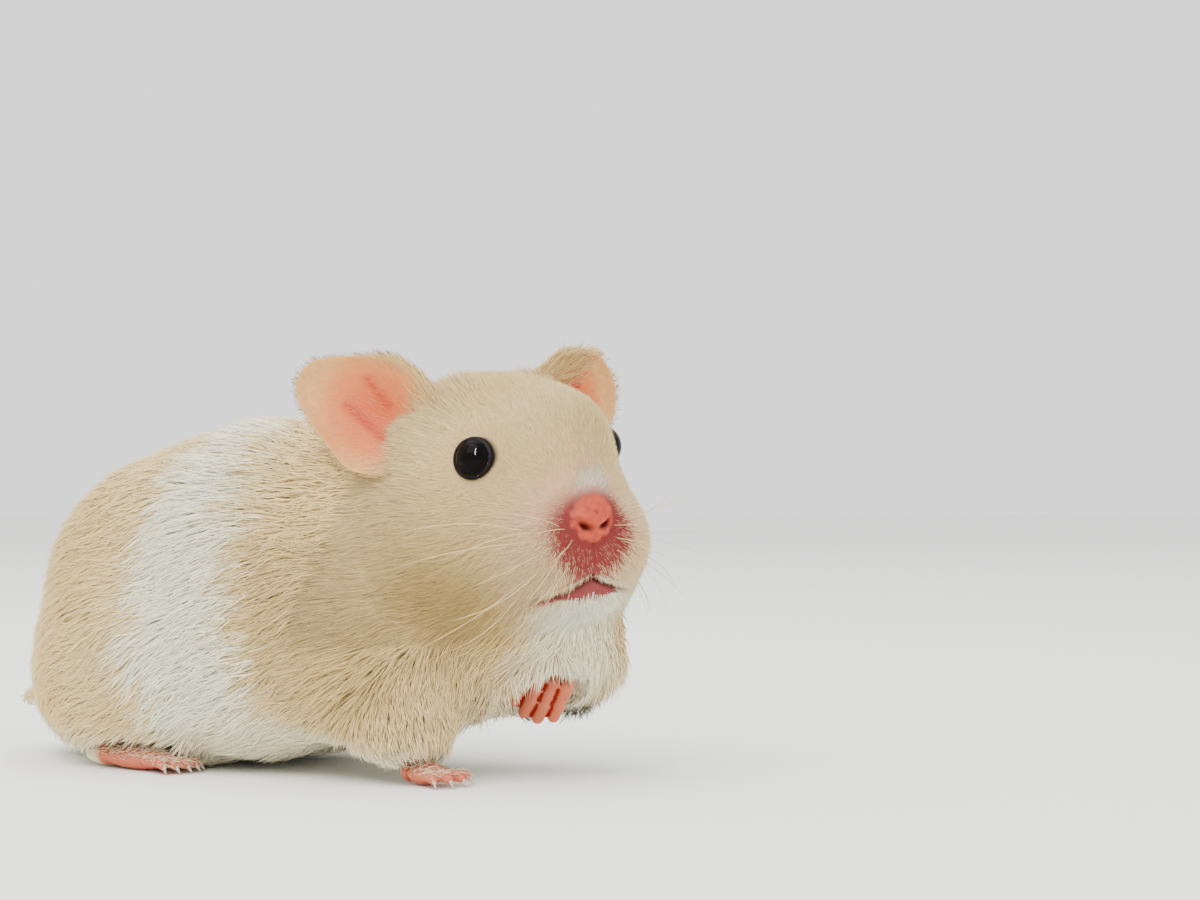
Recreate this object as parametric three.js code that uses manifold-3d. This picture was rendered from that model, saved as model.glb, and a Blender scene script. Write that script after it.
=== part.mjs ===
// A young Syrian hamster, life size, standing on three feet with its left forepaw lifted.
//
// Units are millimetres. The animal faces -Y, +X is its left side, +Z is up, and the floor is
// z = 0. The surfaces are those of the coat's tips. The flesh is a field: a function of a point
// that is negative inside, made of ellipsoids and tapered limbs that melt into each other. Each
// sub-part is the mesh of a field, parted from its neighbours by planes, with a thin gap.
import * as THREE from "three";
import { mergeVertices } from "three/addons/utils/BufferGeometryUtils.js";
import Module from "manifold-3d";

const wasm = await Module();
wasm.setup();

// ---------------------------------------------------------------- driving dimensions
const GAP = 0.3; // between neighbouring sub-parts
const MIDLINE = 0.5; // x of the trunk's middle plane
const BACK_HEIGHT = 48.5; // floor to the top of the coat on the back
const BELLY_HEIGHT = 2.0; // floor to the coat of the belly
const HEAD_TURN = -22; // degrees about +Z, towards the animal's right
const HEAD_TILT = -5.5; // degrees about the head's own +Y; negative lifts its left side
const EYES_AT = [-0.9, -38.1, 43.0]; // the point midway between the eyes, origin of the head's frame
const EYE_SPREAD = 10.0; // from the head's middle plane to the centre of an eyeball
const EYEBALL = 3.0; // radius
const EAR_THICKNESS = 0.9; // of the ear's leaf
const EAR_ROOT_THICKNESS = 3.0; // of the leaf where it grows out of the head

// How far neighbouring shapes of flesh melt into each other.
const HEAD_MELT = 5;
const TRUNK_MELT = 7;
const NECK_MELT = 8;
const LIMB_MELT = 5;
const TOE_MELT = 1.0;
const CLAW_MELT = 0.8;

// Sizes of the mesh cells, coarse on the trunk and fine on the face and feet.
const BODY_CELL = 4.9;
const HEAD_CELL = 3.1;
const TAIL_CELL = 1.6;
const PAW_CELL = 1.1;
const WELD = 0.09; // points of a finished mesh nearer than this become one

// Segments round and along a ball.
const ROOM_SEGMENTS = [11, 7];
const EYE_SEGMENTS = [14, 9];
const EAR_SEGMENTS = [18, 12];

// ---------------------------------------------------------------- colours
const CREAM = 0xdcc69d;
const WHITE = 0xebe8df;
const EAR_PINK = 0xdfa480;
const PAW_PINK = 0xdd8c7c;
const NOSE_PINK = 0xe07f78;
const EYE_BLACK = 0x080607;
const coat = (colour) => new THREE.MeshStandardMaterial({ color: colour, roughness: 0.9, metalness: 0 });
const bare = (colour) => new THREE.MeshStandardMaterial({ color: colour, roughness: 0.55, metalness: 0 });
const gloss = (colour) => new THREE.MeshStandardMaterial({ color: colour, roughness: 0.05, metalness: 0 });

// ---------------------------------------------------------------- fields
const radians = THREE.MathUtils.degToRad;
const mix = THREE.MathUtils.lerp;
const smooth = THREE.MathUtils.smoothstep;
const clamp01 = (t) => THREE.MathUtils.clamp(t, 0, 1);

/** An ellipsoid with its half sizes along the axes. */
function ellipsoid([cx, cy, cz], [a, b, c]) {
  return (x, y, z) => {
    const u = (x - cx) / a;
    const v = (y - cy) / b;
    const w = (z - cz) / c;
    const reach = Math.hypot(u, v, w);
    return (reach * (reach - 1)) / Math.max(Math.hypot(u / a, v / b, w / c), 1e-6);
  };
}

/** A tapered limb with round ends, from one point and radius to another. */
function limb([ax, ay, az], ra, [bx, by, bz], rb) {
  const [dx, dy, dz] = [bx - ax, by - ay, bz - az];
  const length2 = dx * dx + dy * dy + dz * dz;
  return (x, y, z) => {
    const t = clamp01(((x - ax) * dx + (y - ay) * dy + (z - az) * dz) / length2);
    return Math.hypot(x - ax - t * dx, y - ay - t * dy, z - az - t * dz) - mix(ra, rb, t);
  };
}

/** Fields melted together over a distance of about k. */
function melt(k, ...fields) {
  return (x, y, z) =>
    fields.reduce((near, field) => {
      const next = field(x, y, z);
      const h = Math.max(k - Math.abs(near - next), 0) / k;
      return Math.min(near, next) - (h * h * k) / 4;
    }, 1e3);
}

/** The same field grown outwards by a distance. */
const grown = (field, by) => (x, y, z) => field(x, y, z) - by;

/** A field made in a frame of its own, placed in the animal by that frame's matrix. */
function placed(matrix, field) {
  const m = matrix.clone().invert().elements;
  return (x, y, z) =>
    field(
      m[0] * x + m[4] * y + m[8] * z + m[12],
      m[1] * x + m[5] * y + m[9] * z + m[13],
      m[2] * x + m[6] * y + m[10] * z + m[14],
    );
}

/** A frame at a point, turned in degrees about z, then its own x, then its own y, then its own z. */
function frameAt(point, { turn = 0, nod = 0, tilt = 0, lean = 0 } = {}) {
  return new THREE.Matrix4()
    .makeRotationFromEuler(new THREE.Euler(radians(nod), radians(tilt), radians(turn), "ZXY"))
    .multiply(new THREE.Matrix4().makeRotationZ(radians(lean)))
    .setPosition(...point);
}

// ---------------------------------------------------------------- meshes of fields
/** The plane through a point with a normal; what lies behind it is kept. */
const behind = ([x, y, z], normal) =>
  new THREE.Plane().setFromNormalAndCoplanarPoint(
    new THREE.Vector3(...normal).normalize(),
    new THREE.Vector3(x, y, z),
  );

/** A point near a field's surface, moved towards it along the steepest way by a part of a cell. */
function settled(field, point, cell) {
  const h = 0.05 * cell; // the step that the slope is measured over
  const here = field(point.x, point.y, point.z);
  const slope = new THREE.Vector3(
    field(point.x + h, point.y, point.z) - here,
    field(point.x, point.y + h, point.z) - here,
    field(point.x, point.y, point.z + h) - here,
  ).divideScalar(h);
  const move = slope.multiplyScalar(-here / Math.max(slope.lengthSq(), 0.25));
  return point.add(move.clampLength(0, 0.4 * cell)).toArray();
}

/** The closed mesh of a field's surface inside a box, by surface nets on a grid of cubes. */
function meshOf(field, [low, high], cell) {
  const n = low.map((value, i) => Math.ceil((high[i] - value) / cell) + 1);
  const at = (i, j, k) => i + n[0] * (j + n[1] * k);
  const values = new Float32Array(n[0] * n[1] * n[2]);
  for (let k = 0; k < n[2]; k++)
    for (let j = 0; j < n[1]; j++)
      for (let i = 0; i < n[0]; i++) {
        const rim = [i, j, k].some((m, axis) => m === 0 || m === n[axis] - 1);
        values[at(i, j, k)] = rim ? 1 : field(low[0] + i * cell, low[1] + j * cell, low[2] + k * cell);
      }

  const vertexOf = new Int32Array(values.length).fill(-1);
  const positions = [];
  const corners = [0, 1].flatMap((c) => [0, 1].flatMap((b) => [0, 1].map((a) => [a, b, c])));
  const edges = corners.flatMap((p) =>
    [0, 1, 2].filter((axis) => p[axis] === 0).map((axis) => [p, p.map((v, i) => (i === axis ? 1 : v))]),
  );
  for (let k = 0; k < n[2] - 1; k++)
    for (let j = 0; j < n[1] - 1; j++)
      for (let i = 0; i < n[0] - 1; i++) {
        const sum = new THREE.Vector3();
        let crossings = 0;
        for (const [p, q] of edges) {
          const a = values[at(i + p[0], j + p[1], k + p[2])];
          const b = values[at(i + q[0], j + q[1], k + q[2])];
          if (a < 0 === b < 0) continue;
          const t = a / (a - b);
          sum.add(new THREE.Vector3(mix(p[0], q[0], t), mix(p[1], q[1], t), mix(p[2], q[2], t)));
          crossings++;
        }
        if (!crossings) continue;
        vertexOf[at(i, j, k)] = positions.length / 3;
        sum.divideScalar(crossings).add(new THREE.Vector3(i, j, k)).multiplyScalar(cell);
        positions.push(...settled(field, sum.add(new THREE.Vector3(...low)), cell));
      }

  const index = [];
  const step = [1, n[0], n[0] * n[1]];
  for (let k = 0; k < n[2] - 1; k++)
    for (let j = 0; j < n[1] - 1; j++)
      for (let i = 0; i < n[0] - 1; i++)
        for (let axis = 0; axis < 3; axis++) {
          const here = at(i, j, k);
          const inside = values[here] < 0;
          if (inside === values[here + step[axis]] < 0) continue;
          const [u, v] = [step[(axis + 1) % 3], step[(axis + 2) % 3]];
          const quad = [here - u - v, here - v, here, here - u].map((cellAt) => vertexOf[cellAt]);
          if (!inside) quad.reverse();
          const [a, b, c, d] = quad.map((m) => new THREE.Vector3().fromArray(positions, 3 * m));
          if (a.distanceTo(c) > b.distanceTo(d)) quad.push(quad.shift());
          index.push(quad[0], quad[1], quad[2], quad[0], quad[2], quad[3]);
        }
  const geometry = new THREE.BufferGeometry();
  geometry.setAttribute("position", new THREE.Float32BufferAttribute(positions, 3));
  geometry.setIndex(index);
  return geometry;
}

/** A geometry as a solid for joining and cutting. */
function solid(geometry) {
  const bareGeometry = new THREE.BufferGeometry();
  bareGeometry.setAttribute("position", geometry.getAttribute("position"));
  bareGeometry.setIndex(geometry.index);
  const merged = mergeVertices(bareGeometry, 1e-4);
  return new wasm.Manifold(
    new wasm.Mesh({
      numProp: 3,
      vertProperties: new Float32Array(merged.getAttribute("position").array),
      triVerts: new Uint32Array(merged.index.array),
    }),
  );
}

/** A closed geometry with near points joined, less the triangles which that flattens or pairs off. */
function welded(geometry) {
  const joined = mergeVertices(geometry, WELD);
  const faces = new Map();
  for (let t = 0; t < joined.index.count; t += 3) {
    const face = [0, 1, 2].map((corner) => joined.index.getX(t + corner));
    const key = face.toSorted().join();
    if (new Set(face).size < 3) continue;
    if (!faces.delete(key)) faces.set(key, face);
  }
  joined.setIndex([...faces.values()].flat());
  return joined;
}

/** A solid as a geometry again; only its largest body is kept, without loose crumbs. */
function geometryOf(made) {
  const body = made.decompose().sort((a, b) => b.volume() - a.volume())[0];
  const mesh = body.getMesh();
  const geometry = new THREE.BufferGeometry();
  geometry.setAttribute("position", new THREE.BufferAttribute(mesh.vertProperties, 3));
  geometry.setIndex(new THREE.BufferAttribute(mesh.triVerts, 1));
  const clean = welded(geometry);
  clean.computeVertexNormals();
  return clean;
}

const SLAB = 300; // a block larger than the animal

/** The block on the kept side of a plane, which stops half a gap short of it, or beyond it. */
function blockBehind(plane, short = GAP / 2) {
  const block = new THREE.BoxGeometry(SLAB, SLAB, SLAB);
  block.translate(0, 0, -SLAB / 2 - short);
  block.applyQuaternion(new THREE.Quaternion().setFromUnitVectors(new THREE.Vector3(0, 0, 1), plane.normal));
  block.translate(...plane.coplanarPoint(new THREE.Vector3()).toArray());
  return solid(block);
}

/** The solid of a field's inside within a box, kept behind each plane. */
const piece = (field, box, cell, planes = []) =>
  planes.reduce((made, plane) => made.intersect(blockBehind(plane)), solid(meshOf(field, box, cell)));

/** What stands above the floor. */
const aboveFloor = (made) => made.intersect(blockBehind(behind([0, 0, 0], [0, 0, -1]), 0));

/** The solid of an ellipsoid in a frame, grown by a distance. */
function egg(frame, centre, half, by = 0, segments = ROOM_SEGMENTS) {
  const ball = new THREE.SphereGeometry(1, ...segments);
  ball.scale(...half.map((size) => size + by)).translate(...centre).applyMatrix4(frame);
  return solid(ball);
}

const animalFrame = new THREE.Matrix4();
const sides = { left: 1, right: -1 };
/** What is made once for each side of the body, 1 for the left and -1 for the right. */
const bothSides = (make) => Object.values(sides).map(make);

// ---------------------------------------------------------------- the head, in its own frame
// In the head's frame -Y is forward, +X is its left, +Z is up, and the origin is between the eyes.
const headFrame = frameAt(EYES_AT, { turn: HEAD_TURN, tilt: HEAD_TILT });
const onHead = (point) => new THREE.Vector3(...point).applyMatrix4(headFrame).toArray();
const alongHead = (way) => new THREE.Vector3(...way).transformDirection(headFrame).toArray();

const cranium = ellipsoid([0, 9.5, -2.6], [14.2, 17, 13.1]);
const brow = ellipsoid([0, -1.0, 0.2], [8.4, 8.5, 6.8]);
const bridge = limb([0, -2, -0.5], 6.0, [0, -7.0, -6.5], 3.6);
const muzzle = ellipsoid([0, -1.6, -11.8], [9.0, 7.6, 7.8]);
const cheeks = bothSides((s) => ellipsoid([s * 8.2, 3.0, -12.6], [8.6, 10.8, 9.2]));
const pads = bothSides((s) => ellipsoid([s * 4.0, -4.6, -12.8], [4.6, 4.4, 4.6]));
const chin = ellipsoid([0, -2.0, -20.0], [6.0, 6.2, 4.4]);
const throat = ellipsoid([0, 9.0, -15.5], [13.5, 12.5, 10.5]);
const headField = placed(
  headFrame,
  melt(HEAD_MELT, cranium, brow, bridge, muzzle, ...cheeks, ...pads, chin, throat),
);

// Eggs that part sub-parts from the flesh: their middles and half sizes.
const NOSE = [[0, -9.3, -8.5], [3.1, 2.5, 2.9]];
const JAW = [[0, -5, -30], [16, 17, 12.9]];

// ---------------------------------------------------------------- the trunk and the limbs
const halfHeight = (BACK_HEIGHT - BELLY_HEIGHT) / 2;
const barrel = ellipsoid([MIDLINE, 4, BELLY_HEIGHT + halfHeight], [22.5, 27, halfHeight]);
const flanks = bothSides((s) => ellipsoid([MIDLINE + s * 10.5, 3, 14.8], [11, 22, 12.8]));
const skirt = ellipsoid([MIDLINE, 27.5, 10.3], [14, 14, 7.8]);
const haunches = ellipsoid([MIDLINE, 22.5, 23.5], [19.5, 19, 20.0]);
const seat = ellipsoid([MIDLINE, 33.5, 13.5], [14.0, 11.5, 12.2]);
const chest = ellipsoid([MIDLINE + 2, -24, 21], [15.0, 15, 14.5]);
const nape = ellipsoid([MIDLINE + 2, -19, 33], [15.5, 17, 15.5]);
const shoulderRight = limb([-9.5, -10, 21], 11, [-11.0, -20, 12.5], 8.4);
const shoulderLeft = limb([9.5, -17, 22], 10, [12.8, -34.2, 17.5], 8.8);
const thighs = bothSides((s) => ellipsoid([MIDLINE + s * 13, 19.5, 14.2], [9.5, 14.5, 12.2]));
const trunkField = melt(
  TRUNK_MELT, barrel, haunches, seat, skirt, ...flanks, ...thighs, chest, nape, shoulderRight, shoulderLeft,
);

const forearmRight = limb([-12, -22, 12], 8.4, [-12.6, -26.6, 6.2], 5.8);
const forearmLeft = limb([11.5, -35, 16.5], 6.2, [5.2, -36.2, 14.8], 4.2);
const shanks = bothSides((s) => limb([MIDLINE + s * 14, 14, 9], 6.5, [MIDLINE + s * 16, 21, 6], 4.4));
const bodyField = melt(
  LIMB_MELT, melt(NECK_MELT, trunkField, headField), forearmRight, forearmLeft, ...shanks,
);
const tailField = limb([MIDLINE, 42, 11], 3.6, [MIDLINE, 51.5, 7.5], 1.7);

// ---------------------------------------------------------------- paws, in frames of their own
// In a paw's frame the sole is on z = 0, the toes point along -Y and the wrist or heel is at y = 0.
/** A paw: a palm, and toes in a fan that each end in a claw; curl bends the toes down, in degrees. */
function pawField({ palm, toes, toeLength, toeRadius, fan, curl = 0 }) {
  const [palmWidth, palmLength, palmHeight] = palm;
  const middle = [0, -0.45 * palmLength, 0.42 * palmHeight];
  const flesh = [ellipsoid(middle, [palmWidth / 2, 0.55 * palmLength, 0.62 * palmHeight])];
  const claws = [];
  for (let i = 0; i < toes; i++) {
    const across = (2 * i) / (toes - 1) - 1; // -1 to 1 over the fan
    const turn = radians(fan * across);
    const length = toeLength * (1 - 0.22 * across * across);
    const knuckle = [0.36 * palmWidth * across, -0.78 * palmLength, toeRadius + 0.35];
    const onward = (from, distance, down) => [
      from[0] + distance * Math.sin(turn) * Math.cos(radians(down)),
      from[1] - distance * Math.cos(turn) * Math.cos(radians(down)),
      from[2] - distance * Math.sin(radians(down)),
    ];
    const joint = onward(knuckle, 0.55 * length, 0.5 * curl);
    const tip = onward(joint, 0.45 * length, curl);
    flesh.push(limb(knuckle, toeRadius, joint, 0.9 * toeRadius));
    flesh.push(limb(joint, 0.9 * toeRadius, tip, 0.8 * toeRadius));
    claws.push(limb(tip, 0.6, onward(tip, 1.6, curl + 12), 0.35));
  }
  return melt(CLAW_MELT, melt(TOE_MELT, ...flesh), ...claws);
}

const FOREPAW = { palm: [5.2, 4.6, 3.4], toes: 4, toeLength: 3.6, toeRadius: 0.95, fan: 24 };
const FIST = { palm: [7.0, 4.4, 4.2], toes: 4, toeLength: 3.4, toeRadius: 1.0, fan: 3, curl: 70 };
const HINDPAW = { palm: [5.6, 12.5, 3.6], toes: 5, toeLength: 4.4, toeRadius: 0.95, fan: 20 };
const pawFrames = {
  forepaw_right: frameAt([-12.6, -25.6, 0], { turn: -12 }),
  forepaw_left: frameAt([5.2, -35.9, 13.6], { turn: -42, nod: 62, lean: -26 }),
  hindfoot_right: frameAt([-16.0, 23.5, 0], { turn: -7 }),
  hindfoot_left: frameAt([17.0, 23.5, 0], { turn: 7 }),
};
const pawShapes = {
  forepaw_right: FOREPAW,
  forepaw_left: FIST,
  hindfoot_right: HINDPAW,
  hindfoot_left: HINDPAW,
};
const pawFields = Object.fromEntries(
  Object.entries(pawShapes).map(([name, shape]) => [name, placed(pawFrames[name], pawField(shape))]),
);

/** The box, in the animal's frame, round a paw. */
function boxRound(frame, { palm, toeLength }) {
  const reach = [0.5 * palm[0] + 4, palm[1] + toeLength + 4, palm[2] + 4];
  const box = new THREE.Box3(
    new THREE.Vector3(-reach[0], -reach[1], -reach[2]),
    new THREE.Vector3(reach[0], 3, reach[2]),
  ).applyMatrix4(frame);
  return [box.min.toArray(), box.max.toArray()];
}

// ---------------------------------------------------------------- ears
/**
 * An ear: a thin leaf from its root to its tip, in the head's frame, cupped towards its opening.
 * Its outer half is narrower by its trims, on its upper and its lower side.
 */
function ear({ side, root, tip, opening, width, cup, trims }) {
  const [from, to] = [new THREE.Vector3(...root), new THREE.Vector3(...tip)];
  const length = from.distanceTo(to);
  const z = to.sub(from).normalize();
  const x = z.clone().cross(new THREE.Vector3(...opening)).normalize();
  const y = z.clone().cross(x);
  const leaf = new THREE.SphereGeometry(1, ...EAR_SEGMENTS).rotateX(Math.PI / 2);
  const positions = leaf.getAttribute("position");
  for (let i = 0; i < positions.count; i++) {
    const [a, b, c] = new THREE.Vector3().fromBufferAttribute(positions, i).toArray();
    const up = (c + 1) / 2; // 0 at the root, 1 at the tip
    const upper = smooth(-side * a, -0.3, 0.5);
    const outer = smooth(up, 0.4, 0.9);
    const lobe = 0.8 + 0.25 * smooth(up, 0, 0.35);
    const outline = mix(lobe - trims[1] * outer, 1 - trims[0] * outer, upper);
    const across = a * mix(0.8, 1.0, up) * outline * (1 + 0.25 * smooth(up, 0.55, 0.95));
    const half = mix(EAR_ROOT_THICKNESS, EAR_THICKNESS, Math.min(1, 2.2 * up)) / 2;
    const sheet = Math.sign(b) * Math.abs(b) ** 0.45 * half;
    const bend = cup * across * across * mix(1.5, 0.75, up);
    positions.setXYZ(i, (width / 2) * across, sheet - bend, length * up);
  }
  return leaf.applyMatrix4(new THREE.Matrix4().makeBasis(x, y, z).setPosition(from)).applyMatrix4(headFrame);
}

const ears = {
  left: {
    side: sides.left, root: [6.2, 11.2, 3.4], tip: [21.5, 12.3, 10.4], opening: [0.35, -1, 0.1],
    width: 15.2, cup: 2.4, trims: [0.38, 0.18],
  },
  right: {
    side: sides.right, root: [-9.2, 6.8, 1.6], tip: [-21.2, 23.7, 12.2], opening: [-1, -0.6, 0.25],
    width: 17.7, cup: 3.2, trims: [0.42, 0.5],
  },
};

// ---------------------------------------------------------------- parting the body
const NECK_FRONT = behind(onHead([0, 17, 0]), alongHead([0, 1, 0]));
const NECK_BACK = behind([2, -11.5, 35], [0.3, 0.94, -0.1]);
const THROAT = behind(onHead([0, -2, -25.4]), alongHead([0, -0.3, -1]));
const SHOULDER_BACK = behind([0, -5, 20], [0, 1, 0]);
const TRUNK_BACK = behind([0, 20, 20], [0, 1, 0]);
/** The other side of a plane. */
const beyond = (plane) => plane.clone().negate();

// Boxes that hold each field's surface.
const HEAD_BOX = [[-27, -64, 10], [28, -8, 62]];
const BODY_BOX = [[-34, -52, -3], [36, 60, 62]];
const REAR_BOX = [[-10, 30, 0], [12, 60, 30]];
const TAIL_BOX = [[-6, 36, 2], [8, 56, 18]];
const PAW_ROOM = [6.0, 5.0]; // half of the width and height that a paw keeps free of the flesh
const SURROUND = GAP + 0.1; // how far the flesh keeps ears and tail off

const paws = {};
const pawRooms = []; // the flesh keeps clear of these
for (const [name, field] of Object.entries(pawFields)) {
  const { palm, toeLength } = pawShapes[name];
  const length = palm[1] + 0.8 * toeLength;
  paws[name] = aboveFloor(piece(field, boxRound(pawFrames[name], pawShapes[name]), PAW_CELL));
  pawRooms.push(egg(pawFrames[name], [0, -length / 2, 0.3], [PAW_ROOM[0], 0.68 * length + 1, PAW_ROOM[1]]));
}
const withoutPaws = (flesh) => pawRooms.reduce((rest, room) => rest.subtract(room), flesh);

const headFlesh = piece(bodyField, HEAD_BOX, HEAD_CELL, [NECK_FRONT, THROAT]);
const eyeball = (s, by = 0) =>
  egg(headFrame, [s * EYE_SPREAD, 0, 0], [EYEBALL, EYEBALL, EYEBALL], by, EYE_SEGMENTS);
const head = headFlesh
  .subtract(egg(headFrame, ...JAW, GAP))
  .subtract(egg(headFrame, ...NOSE, GAP))
  .subtract(eyeball(1, GAP))
  .subtract(eyeball(-1, GAP));
const headSurround = piece(grown(bodyField, SURROUND), HEAD_BOX, HEAD_CELL);

const torso = withoutPaws(aboveFloor(piece(bodyField, BODY_BOX, BODY_CELL)));
const headRoom = blockBehind(NECK_BACK, -GAP / 2).intersect(blockBehind(THROAT, -GAP / 2));
const beforeNeck = blockBehind(NECK_BACK).intersect(blockBehind(THROAT));

/** The upper limbs: an egg of the body each, parted from the trunk. */
const LIMBS = {
  foreleg_left: [[9.5, -33.0, 14.5], [9.5, 10.5, 10.5]],
  foreleg_right: [[-13.0, -21.0, 8.5], [9.0, 10.5, 13.0]],
  hindleg_left: [[MIDLINE + 17, 16, 11], [11, 15, 15]],
  hindleg_right: [[MIDLINE - 17, 16, 11], [11, 15, 15]],
};
const limbs = {};
const limbRooms = [];
for (const [name, room] of Object.entries(LIMBS)) {
  limbs[name] = torso.intersect(egg(animalFrame, ...room)).subtract(headRoom);
  limbRooms.push(egg(animalFrame, ...room, GAP));
}
const torsoAlone = limbRooms.reduce((rest, room) => rest.subtract(room), torso);
const trunk = torsoAlone.subtract(headRoom);

const root = new THREE.Group();
/** Adds a named sub-part. */
function add(name, geometry, material) {
  const mesh = new THREE.Mesh(geometry, material);
  mesh.name = name;
  root.add(mesh);
}

add("head", geometryOf(head), coat(CREAM));
add("jaw", geometryOf(withoutPaws(headFlesh.intersect(egg(headFrame, ...JAW)))), coat(WHITE));
add("nose", geometryOf(egg(headFrame, ...NOSE)), bare(NOSE_PINK));
const neck = torsoAlone.intersect(beforeNeck).intersect(blockBehind(beyond(NECK_FRONT)));
const middlePart = trunk.intersect(blockBehind(beyond(SHOULDER_BACK))).intersect(blockBehind(TRUNK_BACK));
const rearSurround = piece(grown(bodyField, SURROUND), REAR_BOX, BODY_CELL);
add("neck", geometryOf(neck), coat(CREAM));
add("shoulders", geometryOf(trunk.intersect(blockBehind(SHOULDER_BACK))), coat(CREAM));
add("trunk", geometryOf(middlePart), coat(WHITE));
add("rump", geometryOf(trunk.intersect(blockBehind(beyond(TRUNK_BACK)))), coat(CREAM));
add("tail", geometryOf(piece(tailField, TAIL_BOX, TAIL_CELL).subtract(rearSurround)), bare(PAW_PINK));
for (const [side, s] of Object.entries(sides)) {
  add(`eye_${side}`, geometryOf(eyeball(s)), gloss(EYE_BLACK));
  add(`ear_${side}`, geometryOf(solid(ear(ears[side])).subtract(headSurround)), bare(EAR_PINK));
}
for (const [name, flesh] of Object.entries(limbs)) add(name, geometryOf(flesh), coat(CREAM));
for (const [name, paw] of Object.entries(paws)) add(name, geometryOf(paw), bare(PAW_PINK));

// The origin is on the floor, under the middle of the animal's box.
const middle = new THREE.Box3().setFromObject(root, true).getCenter(new THREE.Vector3());
root.position.set(-middle.x, -middle.y, 0);

export default root;
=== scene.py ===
"""A life-size still model of a Syrian hamster: one skin, a coat of tufts, eyes, claws and whiskers.

The animal faces -Y, its left is +X and it stands on z = 0. Sizes are in millimetres, and every mesh is
scaled to metres when its piece is finished.
"""

import logging
import math
from dataclasses import dataclass, field
from enum import Enum

import bmesh
import bpy
import numpy as np
from mathutils import Matrix, Vector, kdtree


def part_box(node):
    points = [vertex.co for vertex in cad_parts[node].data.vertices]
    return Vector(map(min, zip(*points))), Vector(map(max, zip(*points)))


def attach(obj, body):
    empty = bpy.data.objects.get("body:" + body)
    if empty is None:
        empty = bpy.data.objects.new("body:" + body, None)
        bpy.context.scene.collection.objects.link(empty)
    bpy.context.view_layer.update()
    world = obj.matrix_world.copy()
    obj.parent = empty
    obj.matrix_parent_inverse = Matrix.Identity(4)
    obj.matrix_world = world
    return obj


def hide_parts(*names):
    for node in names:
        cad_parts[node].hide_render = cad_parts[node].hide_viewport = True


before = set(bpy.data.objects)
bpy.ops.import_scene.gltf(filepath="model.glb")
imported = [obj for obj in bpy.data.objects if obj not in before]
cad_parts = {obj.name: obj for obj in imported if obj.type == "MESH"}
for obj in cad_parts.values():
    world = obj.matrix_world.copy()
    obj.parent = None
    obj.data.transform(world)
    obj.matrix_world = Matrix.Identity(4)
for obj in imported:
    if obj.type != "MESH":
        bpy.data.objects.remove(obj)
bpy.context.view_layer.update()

Array = np.ndarray
log = logging.getLogger("hamster")
logging.basicConfig(level=logging.INFO, format="%(name)s: %(message)s")

MM = 0.001  # metres to a millimetre
UP = np.array([0.0, 0.0, 1.0])
SEED = 7
FLOOR_GAP = 0.15  # how far over the floor the lowest hairs lie
BAKE_MAP = "OFBake"
TONE = "Tone"  # the colour attribute that every skin and coat piece carries


class Side(Enum):
    """A side of the animal, with the sign of its x."""

    LEFT = 1
    RIGHT = -1

    @property
    def label(self) -> str:
        """The side's name as it ends a piece's name."""
        return self.name.lower()


class Slot(Enum):
    """The record's material slots."""

    CREAM = "coat_cream"
    WHITE = "coat_white"
    BARE = "bare_skin"
    EYE = "eye"


# ---------------------------------------------------------------- numbers and points
def step(low: float, high: float, value: Array) -> Array:
    """A smooth step.

    Args:
        low: the value where it is 0.
        high: the value where it is 1; it may be below low.
        value: the numbers to step.

    Returns:
        Numbers from 0 to 1.
    """
    t = np.clip((value - low) / (high - low), 0.0, 1.0)
    return t * t * (3 - 2 * t)


def unit(vectors: Array) -> Array:
    """The vectors at length 1."""
    return vectors / np.maximum(np.linalg.norm(vectors, axis=-1, keepdims=True), 1e-9)


def dots(a: Array, b: Array) -> Array:
    """The dot product of each row of a with b, or with b's same row."""
    return (a * b).sum(axis=-1)


def laid_on(ways: Array, normals: Array) -> Array:
    """Directions laid flat on surfaces with these normals, as unit vectors."""
    return unit(ways - normals * dots(ways, normals)[:, None])


def mix(a: Array, b: Array, share: Array) -> Array:
    """Numbers from a at share 0 to b at share 1."""
    return np.asarray(a) * (1 - share) + np.asarray(b) * share


def blend(a: Array, b: Array, share: Array) -> Array:
    """Colours or vectors from a at share 0 to b at share 1, with a share for each row."""
    return mix(a, b, np.asarray(share)[..., None])


def ripple(points: Array, size: float, seed: int, waves: int = 7) -> Array:
    """A soft random pattern through space.

    Args:
        points: where to read it, in millimetres.
        size: the length of its waves in millimetres.
        seed: picks one pattern.
        waves: how many sine waves it adds up.

    Returns:
        One number a point, mostly from -1 to 1.
    """
    rng = np.random.default_rng(seed)
    total = np.zeros(len(points))
    for _ in range(waves):
        wave = unit(rng.normal(size=3)) * 2 * math.pi / (size * rng.uniform(0.7, 1.6))
        total += np.sin(points @ wave + rng.uniform(0, 2 * math.pi))
    return total / math.sqrt(waves)


def tone(red: int, green: int, blue: int) -> Array:
    """A colour as the shaders take it.

    Args:
        red: 0 to 255, as a screen shows it.
        green: the same.
        blue: the same.

    Returns:
        Its three linear parts.
    """
    shown = np.array([red, green, blue]) / 255
    return np.where(shown <= 0.04045, shown / 12.92, ((shown + 0.055) / 1.055) ** 2.4)


def painted(red: int, green: int, blue: int) -> Array:
    """A dataclass field that holds a tone."""
    return field(default_factory=lambda: tone(red, green, blue))


def mirrored(points: Array) -> Array:
    """The points, with those of the right side moved over to the left."""
    return np.abs(points) * [1, 0, 0] + points * [0, 1, 1]


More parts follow.
